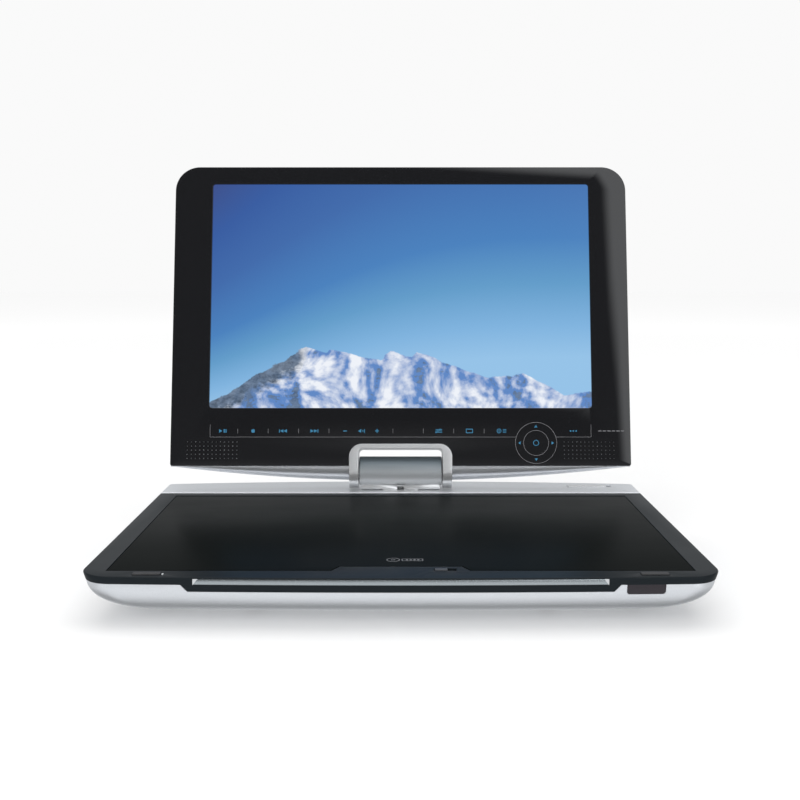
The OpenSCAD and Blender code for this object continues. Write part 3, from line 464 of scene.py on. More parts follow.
def silver_paint(name, metallic, rough):
    """Silver lacquer: fine flakes under a clear coat."""
    s = Shader(name, Metallic=metallic, Coat_Weight=0.2, Coat_Roughness=0.1)
    flakes = s.add("TexVoronoi", {"Vector": s.place, "Scale": 7000.0}).outputs["Distance"]
    tone = s.blend(flakes, (0.64, 0.66, 0.69, 1), (0.82, 0.84, 0.87, 1))
    s.put(s.bsdf, Base_Color=s.blend(s.between(s.noise(22, 2), 0.0, 0.2), tone, (0.72, 0.74, 0.77, 1)))
    s.put(s.bsdf, Roughness=s.between(s.noise(30, 3), rough, rough + 0.05))
    s.bump(flakes, 0.12, 0.004)
    return s.mat


def piano_black(name, rough=(0.03, 0.08), color=(0.006, 0.006, 0.008), shine=0.5):
    """Gloss black with faint smears and specks of dust."""
    s = Shader(name, Specular_IOR_Level=shine)
    smear = s.noise(14, 4, (1.0, 2.2, 1.0))
    specks = s.noise(1400, 1)
    dust = s.add("MapRange", {0: specks, 1: 0.7, 2: 0.8, 3: 0.0, 4: 0.6}).outputs[0]
    s.put(s.bsdf, Base_Color=s.blend(dust, tint(color, 1), (0.02, 0.02, 0.022, 1)))
    s.put(s.bsdf, Roughness=s.between(smear, *rough))
    s.bump(specks, 0.03, 0.002)
    return s.mat


def brushed(name, color, rough=(0.3, 0.4), metallic=0.9, foot=None):
    """Metal with fine lines along X; on the hinge barrel painted shading makes its tone pale from a dark top to a
    light foot.
    """
    s = Shader(name, Metallic=metallic)
    lines = s.noise(30, 4, (2.0, 220.0, 220.0), 0.6)
    tone = s.blend(lines, tint(color, 0.95), tint(color, 1.04))
    # painted shading: the barrel's tone runs from dark at the top to the paler foot colour at the bottom
    if foot:
        z = s.add("SeparateXYZ", {0: s.place}).outputs[2]
        top, bottom = (AXIS_Z + 5) * MM, (AXIS_Z - 5) * MM
        drop = s.add("MapRange", {0: z, 1: top, 2: bottom, 3: 0.0, 4: 1.0}).outputs[0]
        tone = s.blend(drop, tone, tint(foot, 1.0))
    s.put(s.bsdf, Base_Color=tone)
    s.put(s.bsdf, Roughness=s.between(lines, *rough))
    s.bump(lines, 0.06, 0.003)
    return s.mat


def printed(name, color, glow=0.0):
    """Ink on the glass: fine screen dots and an uneven edge to its tone; with glow it also gets a faint painted
    glow.
    """
    s = Shader(name, Roughness=0.4, Specular_IOR_Level=0.3)
    dots = s.add("TexVoronoi", {"Vector": s.place, "Scale": 3000.0}).outputs["Distance"]
    ink = s.blend(s.between(dots, 0.0, 0.5), tint(color, 1.0), tint(color, 0.8))
    s.put(s.bsdf, Base_Color=ink)
    # painted glow: the ink emits a little light of its own colour though it is no lamp
    if glow:
        s.put(s.bsdf, Emission_Color=ink, Emission_Strength=glow)
    return s.mat


def circuit_board():
    """Green solder mask with copper tracks showing through."""
    s = Shader("circuit_board", Roughness=0.35)
    tracks = s.add("TexBrick", {"Vector": s.place, "Scale": 230.0, "Mortar Size": 0.03,
                                "Color1": (0.01, 0.12, 0.05, 1), "Color2": (0.015, 0.16, 0.07, 1),
                                "Mortar": (0.05, 0.3, 0.14, 1)})
    pads = s.add("TexVoronoi", {"Vector": s.place, "Scale": 420.0}).outputs["Distance"]
    pad = s.add("MapRange", {0: pads, 1: 0.10, 2: 0.16, 3: 1.0, 4: 0.0}).outputs[0]
    s.put(s.bsdf, Base_Color=s.blend(pad, tracks.outputs[0], (0.75, 0.72, 0.6, 1)))
    s.bump(tracks.outputs[1], 0.3, 0.05)
    return s.mat


def picture():
    """The shown picture: deep blue sky paling to the horizon over a snow range, with a painted sheen of the glass
    in the sky.
    """
    s = Shader("picture", Roughness=0.12, Base_Color=(0.0, 0.0, 0.0, 1), Specular_IOR_Level=0.12)
    width = SCREEN_HIGH[0] - SCREEN_LOW[0]
    height = SCREEN_HIGH[2] - SCREEN_LOW[2]
    up = (0.0, math.sin(LEAN) / (height * MM), math.cos(LEAN) / (height * MM))
    foot = in_display(0, 0, SCREEN_LOW[2])
    rise = s.add("VectorMath", {0: s.place, 1: up}, operation="DOT_PRODUCT").outputs["Value"]
    v = s.math("SUBTRACT", rise, foot.dot(Vector(up)))
    x = s.add("SeparateXYZ", {0: s.place}).outputs[0]
    u = s.math("MULTIPLY_ADD", x, 1 / (width * MM), 0.5)

    # ridge: the highest of a few peaks, roughened
    rugged = s.noise(60, 5, None, 0.6)
    wobble = s.math("MULTIPLY_ADD", rugged, 0.06, -0.03)
    where = s.math("ADD", u, s.math("MULTIPLY", wobble, 0.5))
    ridge = None
    for peak, top, left_slope, right_slope in PEAKS:
        side = s.math("SUBTRACT", where, peak)
        right = s.math("MULTIPLY", side, right_slope)
        fall = s.math("MAXIMUM", right, s.math("MULTIPLY", side, -left_slope))
        tent = s.math("SUBTRACT", top, fall)
        ridge = tent if ridge is None else s.math("MAXIMUM", ridge, tent)
    ridge = s.math("ADD", ridge, wobble)
    depth = s.math("SUBTRACT", ridge, v)
    land = s.add("MapRange", {0: depth, 1: -0.0025, 2: 0.0025, 3: 0.0, 4: 1.0}).outputs[0]

    # sky: darkest at the top left, paling quickly to the right and steadily downwards; its colours hold the
    # picture's own sky and a painted sheen of the glass
    drop = s.math("SUBTRACT", 1.0, v)
    left = s.math("SUBTRACT", 1.0, u)
    across = s.math("SUBTRACT", 1.0, s.math("POWER", left, 3.0))
    reach = s.math("MULTIPLY_ADD", drop, -0.42, 0.55)
    sky_and_sheen = s.add("ValToRGB", {0: s.math("ADD", drop, s.math("MULTIPLY", across, reach))})
    ramp = sky_and_sheen.color_ramp
    for end, color in zip(ramp.elements, (SKY_AND_SHEEN[0][1], SKY_AND_SHEEN[-1][1])):
        end.color = color + (1,)
    for place, color in SKY_AND_SHEEN[1:-1]:
        ramp.elements.new(place).color = color + (1,)

    # relief: a height field lit from the upper right, by comparing it with itself moved towards the light
    near = s.relief(s.place)
    moved = s.add("VectorMath", {0: s.place, 1: (0.0024, 0.0, 0.0016)}, operation="ADD").outputs[0]
    slope = s.math("SUBTRACT", s.relief(moved), near)
    lit = s.add("MapRange", {0: slope, 1: -0.045, 2: 0.03, 3: 1.0, 4: 0.0}).outputs[0]
    snow = s.blend(lit, (0.12, 0.25, 0.56, 1), (0.86, 0.89, 0.95, 1))
    crag = s.noise(240, 4, (1.0, 1.0, 1.6), 0.7)
    rock = s.blend(s.between(crag, 0.0, 1.0), (0.02, 0.04, 0.07, 1), (0.2, 0.27, 0.38, 1))
    steep = s.math("ADD", slope, s.math("MULTIPLY", crag, 0.22))
    outcrop = s.add("MapRange", {0: steep, 1: 0.155, 2: 0.175, 3: 0.0, 4: 0.85}).outputs[0]
    crest = s.add("MapRange", {0: s.math("MULTIPLY_ADD", crag, 0.12, depth), 1: 0.11, 2: 0.16, 3: 0.95,
                               4: 0.0}).outputs[0]
    flank = s.add("MapRange", {0: s.math("MULTIPLY_ADD", rugged, 0.12, u), 1: 0.28, 2: 0.32, 3: 1.0,
                               4: 0.0}).outputs[0]
    bare = s.math("MAXIMUM", outcrop, s.math("MULTIPLY", crest, flank))
    land_tone = s.blend(bare, snow, rock)
    s.put(s.bsdf, Emission_Color=s.blend(land, sky_and_sheen.outputs[0], land_tone), Emission_Strength=1.0)
    return s.mat


# Colours of the sky from its deepest to its palest, each with a painted sheen of the glass mixed in
SKY_AND_SHEEN = [(0.0, (0.05, 0.084, 0.262)), (0.24, (0.043, 0.112, 0.361)), (0.47, (0.056, 0.15, 0.413)),
       (0.69, (0.072, 0.223, 0.515)), (0.81, (0.127, 0.337, 0.591)), (0.92, (0.22, 0.456, 0.737)),
       (1.0, (0.305, 0.546, 0.807))]

# Peaks of the range, as shares of the picture: place across, height, steepness on the left and right
PEAKS = [(0.25, 0.27, 1.0, 0.5), (0.31, 0.262, 3.0, 0.42), (0.475, 0.25, 2.0, 0.5),
         (0.54, 0.247, 3.0, 0.62), (0.82, 0.155, 0.3, 0.9), (0.03, 0.055, 1.5, 1.5), (1.0, 0.08, 0.25, 1.0)]

SILVER = silver_paint("silver_paint", 0.75, 0.3)
STRIP_SILVER = silver_paint("strip_silver", 0.55, 0.32)
DECK_BLACK = piano_black("deck_black", (0.3, 0.36), (0.011, 0.014, 0.0165), 0.05)
LID_BLACK = piano_black("lid_black", (0.3, 0.36), (0.006, 0.0072, 0.007), 0.008)
GLASS_BLACK = piano_black("glass_black", (0.04, 0.07), (0.007, 0.0072, 0.0085))
BRIGHT = surface("bright_trim", (0.86, 0.87, 0.88), 1.0, (0.08, 0.16), 0.03, 40, 700, 0.004)
SATIN = brushed("satin_metal", (0.74, 0.75, 0.76), (0.3, 0.36), 0.7)
# barrel_metal: dark base colour with painted shading that pales to the foot colour below
BARREL = brushed("barrel_metal", (0.13, 0.16, 0.18), (0.42, 0.48), 0.35, foot=(0.66, 0.68, 0.7))
BAR = brushed("bar_metal", (0.42, 0.46, 0.48), (0.2, 0.26), 0.9)
STEEL = surface("steel", (0.6, 0.61, 0.63), 1.0, (0.22, 0.38), 0.08, 120, 1500, 0.01)
RUBBER = surface("rubber", (0.03, 0.03, 0.032), 0.0, (0.7, 0.85), 0.15, 150, 2400, 0.05)
BLACK_PLASTIC = surface("black_plastic", (0.035, 0.035, 0.038), 0.0, (0.4, 0.55), 0.12, 90, 2600, 0.04)
GREY_PLASTIC = surface("grey_plastic", (0.42, 0.43, 0.45), 0.2, (0.4, 0.5), 0.05, 90, 2600, 0.04)
SMOKED = piano_black("smoked_window", (0.05, 0.1), (0.012, 0.008, 0.012))
SLEEVE = surface("cell_sleeve", (0.05, 0.16, 0.36), 0.0, (0.25, 0.4), 0.1, 60, 500, 0.05)
GOLD = surface("gold_plastic", (0.72, 0.5, 0.1), 0.3, (0.3, 0.4), 0.08, 200, 1500, 0.02)
CLEAR = surface("clear_plastic", (0.85, 0.9, 0.92), 0.0, (0.1, 0.2), 0.04, 100, 900, 0.01)
LENS = surface("lens_coating", (0.25, 0.35, 0.6), 0.6, (0.05, 0.1), 0.2, 400, 900, 0.002)
CHIP = surface("chip_black", (0.02, 0.02, 0.022), 0.0, (0.45, 0.6), 0.2, 300, 3000, 0.03)
BOARD = circuit_board()
# the cyan and grey inks carry a painted glow
CYAN_INK = printed("cyan_ink", (0.03, 0.17, 0.3), 0.35)
GREY_INK = printed("grey_ink", (0.16, 0.16, 0.17), 0.1)
PALE_INK = printed("pale_ink", (0.26, 0.26, 0.27))
PICTURE = picture()


# ---------- base ----------
def case_shell(name, material):
    """The rounded lower body as a hollow shell with a wall."""
    bm = bmesh.new()
    levels = 28
    rings = []
    for skin in (0, WALL):
        steps = []
        for k in range(levels + 1):
            t = math.radians(90 * k / levels)
            inset = SIDE_DRAFT + skin + HULL_INSET * (1 - math.cos(t))
            z = RIM_Z - (RIM_Z - FLOOR_Z - skin) * math.sin(t)
            steps.append(add_ring(bm, case_outline(inset), z, flat))
        for a, b in zip(steps, steps[1:]):
            bridge(bm, a, b)
        bm.faces.new(steps[-1])
        rings.append(steps[0])
    bridge(bm, rings[0], rings[1])
    return finish_mesh(bm, name, material, None)


def lip_cutter(grown):
    """The black lip's block in the middle of the front edge."""
    low, high = box_mm("finger_channel")
    w = high[0] + 2 + grown
    z0 = low[2] - 2.6 - grown
    shape = [(-w, z0), (w, z0), (w + 3, RIM_Z + 0.5), (-w - 3, RIM_Z + 0.5)]

    def build(bm):
        prism(bm, shape, -FRONT_Y - 14, -FRONT_Y + 8, on_case_front)

    return build


def window_cutter(grown):
    low, high = box_mm("ir_window")
    cx = (low[0] + high[0]) / 2
    w = high[0] - low[0] + 2 * grown
    shape = round_rect(cx, (low[2] - grown + RIM_Z + 2) / 2, w, RIM_Z + 2 - low[2] + grown, 1.2)

    def build(bm):
        prism(bm, shape, -FRONT_Y - 14, -FRONT_Y + 8, on_case_front)

    return build


FOOT_R = 5
FOOT_SEAT = 0.8
SCREW_R = 2.6
SCREW_SEAT = 1.2


def corner_places(node, r):
    """Middles of four round pieces of radius r that stand in the corners of a node's box."""
    low, high = box_mm(node)
    return [(x, y) for x in (low[0] + r, high[0] - r) for y in (low[1] + r, high[1] - r)]


JACKS = ["headphone_jack_front", "headphone_jack_rear", "av_jack", "power_jack"]


def jack_y(node):
    low, high = box_mm(node)
    return (low[1] + high[1]) / 2


JACK_Z = next(m for m in frame["record"]["mounts"] if m["name"] == "headphone_front")["pos_m"][2] / MM
JACK_FACE = box_mm("av_jack")[1][0]


HATCH_GAP = 0.3
JACK_HOLE_R = 3.35

# Vents under the drive: two rows of slots
VENT_ROWS = 2
VENT_SLOTS = 9
VENT_FIRST = (-28, 5)
VENT_PITCH = (7, 16)
VENT_SIZE = (1.6, 12)


def underside_cutter(bm):
    """Seats for the feet, screws and hatch, the vents, and the holes of the side sockets."""
    for x, y in corner_places("rubber_feet", FOOT_R):
        prism(bm, circle(x, y, FOOT_R + 0.4), -1, FLOOR_Z + FOOT_SEAT, flat)
    for x, y in corner_places("case_screws", SCREW_R):
        prism(bm, circle(x, y, SCREW_R + 0.4, 32), -1, FLOOR_Z + SCREW_SEAT, flat)
    low, high = box_mm("battery_cover")
    g = HATCH_GAP
    hatch = [(low[0] - g, low[1] - g), (high[0] + g, low[1] - g),
             (high[0] + g, high[1] + g), (low[0] - g, high[1] + g)]
    prism(bm, hatch, -1, FLOOR_Z + 0.9, flat)
    for row in range(VENT_ROWS):
        for k in range(VENT_SLOTS):
            x = VENT_FIRST[0] + VENT_PITCH[0] * k
            y = VENT_FIRST[1] + VENT_PITCH[1] * row
            slot = round_rect(x, y, *VENT_SIZE, 0.79, 5)
            prism(bm, slot, -1, FLOOR_Z + 3, flat)
    for node in JACKS:
        prism(bm, circle(jack_y(node), JACK_Z, JACK_HOLE_R, 40), JACK_FACE - 14, JACK_FACE + 8,
              lambda x, y, z: flat(z, x, y))


def build_case():
    case = case_shell("case_shell", SILVER)
    boolean(case, lip_cutter(GAP))
    boolean(case, window_cutter(GAP))
    boolean(case, underside_cutter)
    dress(case, SILVER, 32)
    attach(case, "base")
    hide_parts("bottom_case")

    lip = case_shell("deck_lip", DECK_BLACK)
    boolean(lip, lip_cutter(0), "INTERSECT")
    dress(lip, DECK_BLACK, 32)
    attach(lip, "base")

    window = case_shell("front_window", SMOKED)
    boolean(window, window_cutter(0), "INTERSECT")
    dress(window, SMOKED, 32)
    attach(window, "base")
    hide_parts("ir_window")


LID_AXIS = [c / MM for c in joint("lid_open")["pos_m"]]
LID_SWING = math.radians(70)
LID_ROOM = 0.4
# How far the open lid's top face comes behind its axis, at the height of the deck
LID_LEAN = (DECK_Z - LID_AXIS[2]) * math.tan(LID_SWING / 2) + LID_ROOM
TAB_HALF = 26.5
TAB_IN = 5.7
TAB_SLANT = 3
LID_GAP = 0.4


def lid_outline(grown, behind=0.0):
    """The disc lid's outline with the notch for the front tab."""
    low, high = box_mm("disc_lid")
    x = high[0] + LID_GAP + grown
    y0 = low[1] - LID_GAP - grown
    y1 = high[1] + LID_GAP + grown + behind
    t = TAB_HALF - grown
    notch = [(-t, y0), (-t + TAB_SLANT, y0 + TAB_IN), (t - TAB_SLANT, y0 + TAB_IN), (t, y0)]
    return [(-x, y0)] + notch + [(x, y0), (x, y1), (-x, y1)]


def rim_profile(outer_edge=0.6):
    """Side of the rim: a drafted wall and a rounded top edge."""
    steps = [(SIDE_DRAFT, RIM_Z), (0.1, DECK_Z - outer_edge)]
    for k in range(1, 6):
        a = math.radians(18 * k)
        steps.append((0.1 + outer_edge * (1 - math.cos(a)), DECK_Z - outer_edge + outer_edge * math.sin(a)))
    return steps


def channel_pocket(bm):
    """Room for the bright finger bar in the front of the rim."""
    low, high = box_mm("finger_channel")
    block(bm, (low[0] - GAP, FRONT_Y - 8, low[2] - 0.1), (high[0] + GAP, FRONT_Y + 5.5, high[2]))


PAD_LENGTH = 10.6


def pad_outline(side, grown):
    low, high = box_mm("closing_pads")
    x = side * (high[0] - PAD_LENGTH / 2)
    return round_rect(x, (low[1] + high[1]) / 2, PAD_LENGTH + 2 * grown, high[1] - low[1] + 2 * grown, 0.6)


LED_HOLE_R = 0.5
LOCK_SLOT = (8.6, 3)
SWITCH_SLOT_W = 4
SWITCH_ENDS = 5.3
TURNTABLE_R = 10.65


def middle(node):
    """Middle of a CAD node's plan."""
    low, high = box_mm(node)
    return (low[0] + high[0]) / 2, (low[1] + high[1]) / 2


def build_deck():
    """The black frame round the lid, and the silver strip behind it that carries the hinge."""
    lid_back = box_mm("disc_lid")[1][1] + LID_GAP
    holes = [lid_outline(0, LID_AXIS[1] + LID_LEAN - lid_back)]
    holes += [circle(*middle("status_led"), LED_HOLE_R, 24)]
    holes += [round_rect(*middle("lock_body"), *LOCK_SLOT, 0.5)]
    holes += [pad_outline(side, 0.1) for side in (-1, 1)]
    outer = clip_outline(case_outline(0), STRIP_Y, True)
    panel("deck_frame_top", outer, RIM_Z, DECK_Z, DECK_BLACK, "base", holes=holes, edge=0.22,
          profile=rim_profile(), replaces=["deck_frame"], slot="black_deck", cut=channel_pocket)

    strip = clip_outline(case_outline(0), STRIP_Y + GAP, False)
    turn = circle(0, HINGE_Y, TURNTABLE_R, 64)
    low, high = box_mm("power_switch_body")
    slot_length = high[0] - low[0] - SWITCH_ENDS
    slider = round_rect(*middle("power_switch_body"), slot_length, SWITCH_SLOT_W, 1.0)
    panel("hinge_strip_top", strip, RIM_Z, DECK_Z, STRIP_SILVER, "base", holes=[turn, slider], edge=0.22,
          profile=rim_profile(), replaces=["hinge_strip"], slot="silver_case")


def build_lid():
    """Gloss lid with softened edges."""
    lid = frame["nodes"]["disc_lid"]
    dress(lid, LID_BLACK)
    soften(lid, 0.22, 40, 3)


def build_channel():
    """The bright finger bar: a hollow-ground channel between round chrome ends."""
    low, high = box_mm("finger_channel")
    half = high[0]
    zc = (low[2] + high[2]) / 2
    r = (high[2] - low[2]) / 2
    bm = bmesh.new()
    steps = 64
    rings = []
    for k in range(steps + 1):
        x = -half + 2 * half * k / steps
        bow = FRONT_BOW * (1 - (x / HALF_W) ** 2)
        near = FRONT_Y - bow + 0.35
        section = [(near + 0.5 - 0.5 * math.cos(a), zc + (r - 0.1) * math.sin(a))
                   for a in (math.radians(-90 + 15 * j) for j in range(13))]
        section += [(near + 3.4, zc + r - 0.1), (near + 3.4, zc - r + 0.1)]
        rings.append([bm.verts.new(flat(x, y, z)) for y, z in section])
    for a, b in zip(rings, rings[1:]):
        bridge(bm, a, b)
    bm.faces.new(rings[0])
    bm.faces.new(rings[-1])
    finish_mesh(bm, "finger_bar", BAR, "base", replaces=["finger_channel"], slot="bright_trim")

    bm = bmesh.new()
    for side in (-1, 1):
        x = side * (half - 1.0)
        near = FRONT_Y - FRONT_BOW * (1 - (x / HALF_W) ** 2) + 0.2
        inner, outer = x - side * 0.9, x + side * 0.9
        cap = [(inner, zc + r - 0.12), (outer, zc + r - 0.12), (outer, zc - r + 0.12)]
        prism(bm, cap, -near - 1.2, -near, on_case_front)
    finish_mesh(bm, "finger_bar_ends", BRIGHT, "base", slot="bright_trim")


def build_sliders():
    """The two sliding knobs, which stay the CAD's own."""
    for node, material in (("power_slider", SATIN), ("lock_slider", BLACK_PLASTIC)):
        piece = frame["nodes"][node]
        dress(piece, material)
        soften(piece, 0.12, segments=2)


def build_base_trim():
    """Feet, screws, hatch and pads."""
    bm = bmesh.new()
    for x, y in corner_places("rubber_feet", FOOT_R):
        panel_into(bm, circle(x, y, FOOT_R), [], -(FLOOR_Z + FOOT_SEAT), 0, 0.6, on_underside)
    finish_mesh(bm, "foot_pads", RUBBER, "base", replaces=["rubber_feet"], slot="soft_rubber")

    bm = bmesh.new()
    for x, y in corner_places("case_screws", SCREW_R):
        cross = []
        for k in range(4):
            a = math.radians(90 * k)
            c, s = math.cos(a), math.sin(a)
            for dx, dy in ((1.6, -0.3), (1.6, 0.3), (0.3, 0.3)):
                cross.append((x + dx * c - dy * s, y + dx * s + dy * c))
        panel_into(bm, circle(x, y, SCREW_R, 40), [cross], -(FLOOR_Z + SCREW_SEAT), -(FLOOR_Z - 0.3), 0.3,
                   on_underside)
    finish_mesh(bm, "screw_heads", STEEL, "base", replaces=["case_screws"], slot="steel")

    low, high = box_mm("battery_cover")
    w, h = high[0] - low[0], high[1] - low[1]
    cx, cy = (low[0] + high[0]) / 2, (low[1] + high[1]) / 2
    grips = [round_rect(cx, low[1] + 10 + 3 * k, 16, 1.2, 0.59, 4) for k in range(5)]
    panel("battery_hatch", round_rect(cx, cy, w, h, 1.5), -high[2], -low[2] + 0.1, GREY_PLASTIC, "base",
          holes=grips, edge=0.3, place=on_underside, replaces=["battery_cover"], slot="hatch")

    low, high = box_mm("closing_pads")
    bm = bmesh.new()
    for side in (-1, 1):
        panel_into(bm, pad_outline(side, 0), [], low[2], high[2], 0.35, flat)
    finish_mesh(bm, "closing_pads_soft", RUBBER, "base", replaces=["closing_pads"], slot="soft_rubber")


def build_hinge():
    """Bracket, barrel and turntable."""
    bracket = frame["nodes"]["hinge_bracket"]
    dress(bracket, SATIN, 30)
    soften(bracket, 0.7, 40, 4)

    low, high = box_mm("hinge_barrel")
    half = high[0]
    r = (high[2] - low[2]) / 2
    edge = 0.7
    profile = [(2.6, -half + 2.4), (5.2, -half + 2.4), (5.2, -half), (r - edge, -half)]
    profile += [(r - edge + edge * math.sin(a), -half + edge - edge * math.cos(a))
                for a in (math.radians(22.5 * k) for k in range(1, 5))]
    profile += [(p, -h) for p, h in reversed(profile)]

    def on_axis(x, y, z):
        return flat(z, HINGE_Y + x, AXIS_Z + y)

    lathe("barrel_sleeve", profile, BARREL, "swivel", on_axis, 96,
          replaces=["hinge_barrel"], slot="dark_metal")
    dress(frame["nodes"]["swivel_post"], SATIN, 30)
    soften(frame["nodes"]["swivel_post"], 0.15, 40, 2)


# ---------- display ----------
def notch_outline(grown):
    """The bracket's opening, open at the bottom."""
    half = BRACKET_HIGH[0] + grown
    top = BRACKET_HIGH[2] + grown
    r = 6.5 + grown
    return arc(half - r, top - r, r, 0, 90, 12) + arc(-half + r, top - r, r, 90, 180, 12)


def glass_outline():
    """The front glass with the bracket's opening cut from its lower edge."""
    half = GLASS_HIGH[0]
    low, high = GLASS_LOW[2], GLASS_HIGH[2]
    r = DISPLAY_CORNER
    pts = arc(half - r, high - r, r, 0, 90, 24) + arc(-half + r, high - r, r, 90, 180, 24)
    pts += arc(-half + 1.2, low + 1.2, 1.2, 180, 270, 6)
    notch = notch_outline(GAP)
    pts += [(notch[-1][0], low)] + notch[::-1] + [(notch[0][0], low)]
    return pts + arc(half - 1.2, low + 1.2, 1.2, 270, 360, 6)


GRILLE_X = 96
GRILLE_UP = 8
GRILLE_COLUMNS = 13
GRILLE_ROWS = 5
GRILLE_PITCH = 2.1
GRILLE_HOLE_R = 0.32


def grille_holes():
    """Speaker holes: a grid in each lower corner of the glass."""
    holes = []
    for side in (-1, 1):
        for k in range(GRILLE_COLUMNS):
            for j in range(GRILLE_ROWS):
                x = side * GRILLE_X + (k - GRILLE_COLUMNS // 2) * GRILLE_PITCH
                y = GLASS_LOW[2] + GRILLE_UP + (j - GRILLE_ROWS // 2) * GRILLE_PITCH
                holes.append(circle(x, y, GRILLE_HOLE_R, 12))
    return holes


def build_glass():
    out = -GLASS_LOW[1]
    window = round_rect(0, (SCREEN_LOW[2] + SCREEN_HIGH[2]) / 2, SCREEN_HIGH[0] - SCREEN_LOW[0] + 0.3,
                        SCREEN_HIGH[2] - SCREEN_LOW[2] + 0.3, 1.5)
    panel("front_glass", glass_outline(), -GLASS_HIGH[1], out, GLASS_BLACK, "display",
          holes=[window] + grille_holes(), edge=0.2, place=on_front, replaces=["front_panel"],
          slot="front_gloss")
    dress(frame["nodes"]["lcd_panel"], PICTURE)


COVER_REAR = 7.0

# Cover screws: in from the sides, and up and down from the panel's lower and upper edges
SCREW_IN = 9
SCREW_UP = 18
SCREW_DOWN = 14

# Slots over the speakers
SLOT_X = 84
SLOT_UP = 16
SLOT_COUNT = 7
SLOT_PITCH = 3.2
SLOT_SIZE = (1.2, 9)


def rear_depth(x):
    return COVER_REAR - REAR_ARCH * (x / GLASS_HIGH[0]) ** 2


def cover_section(x):
    """Side section of the rear cover at x: top rounding, rear skin and the drooping chin."""
    half = GLASS_HIGH[0]
    share = 1 - (x / half) ** 2
    r = DISPLAY_CORNER
    d = abs(x) - (half - r)
    top = GLASS_HIGH[2] - (r - math.sqrt(max(0, r * r - d * d)) if d > 0 else 0)
    t = rear_depth(x)
    front = GLASS_HIGH[1]
    e = min(EDGE_R, 0.8 * (t - front))
    low = max(0.2, CHIN * share)
    pts = [(front, GLASS_LOW[2]), (front, top)]
    for k in range(11):
        a = math.radians(9 * k)
        pts.append((t - e + e * math.sin(a), top - e + e * math.cos(a)))
    mid = (t - front) / 2
    for k in range(25):
        a = math.radians(7.2 * k)
        pts.append((front + mid + mid * math.cos(a), GLASS_LOW[2] - low * math.sin(a)))
    return pts


def build_cover():
    bm = bmesh.new()
    half, r = GLASS_HIGH[0], DISPLAY_CORNER
    xs = [-half + r * (1 - math.cos(math.radians(6 * k))) for k in range(16)]
    steps = 48
    xs += [(half - r) * (2 * k / steps - 1) for k in range(1, steps)]
    xs += [half - r * (1 - math.cos(math.radians(90 - 6 * k))) for k in range(16)]
    rings = [[bm.verts.new(in_display(x, v, u)) for v, u in cover_section(x)] for x in xs]
    for a, b in zip(rings, rings[1:]):
        bridge(bm, a, b)
    bm.faces.new(rings[0])
    bm.faces.new(rings[-1])
    cover = finish_mesh(bm, "rear_shell", SILVER, None)

    def openings(cut):
        notch = notch_outline(GAP)
        prism(cut, [(notch[-1][0], -30)] + notch[::-1] + [(notch[0][0], -30)], -20, 20, on_front)
        for x in (-1, 1):
            for u in (GLASS_LOW[2] + SCREW_UP, GLASS_HIGH[2] - SCREW_DOWN):
                px = x * (half - SCREW_IN)
                prism(cut, circle(px, u, 2.4, 32), rear_depth(px) - 1, 20, through_display)
        for side in (-1, 1):
            for k in range(SLOT_COUNT):
                x = side * SLOT_X + SLOT_PITCH * (k - SLOT_COUNT // 2)
                slot = round_rect(x, GLASS_LOW[2] + SLOT_UP, *SLOT_SIZE, 0.59, 4)
                prism(cut, slot, 1, 20, through_display)

    boolean(cover, openings)
    dress(cover, SILVER, 32)
    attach(cover, "display")
    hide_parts("rear_cover")


# ---------- touch keys ----------
KEY_UP = 17.8
LINE_UP = 14.7
RING_X = 69.0
RING_UP = 11.7
KEY_PITCH = 15.5
LINE_END = 97.0
LINE_RISE = 6.4


def bar(x, y, w, h):
    return (round_rect(x, y, w, h, min(w, h) * 0.3, 2), [])


def triangle(x, y, w, h, way=1):
    return ([(x - way * w / 2, y - h / 2), (x + way * w / 2, y), (x - way * w / 2, y + h / 2)], [])


def hoop(x, y, r, t, n=64):
    return (circle(x, y, r, n), [circle(x, y, r - t, n)])


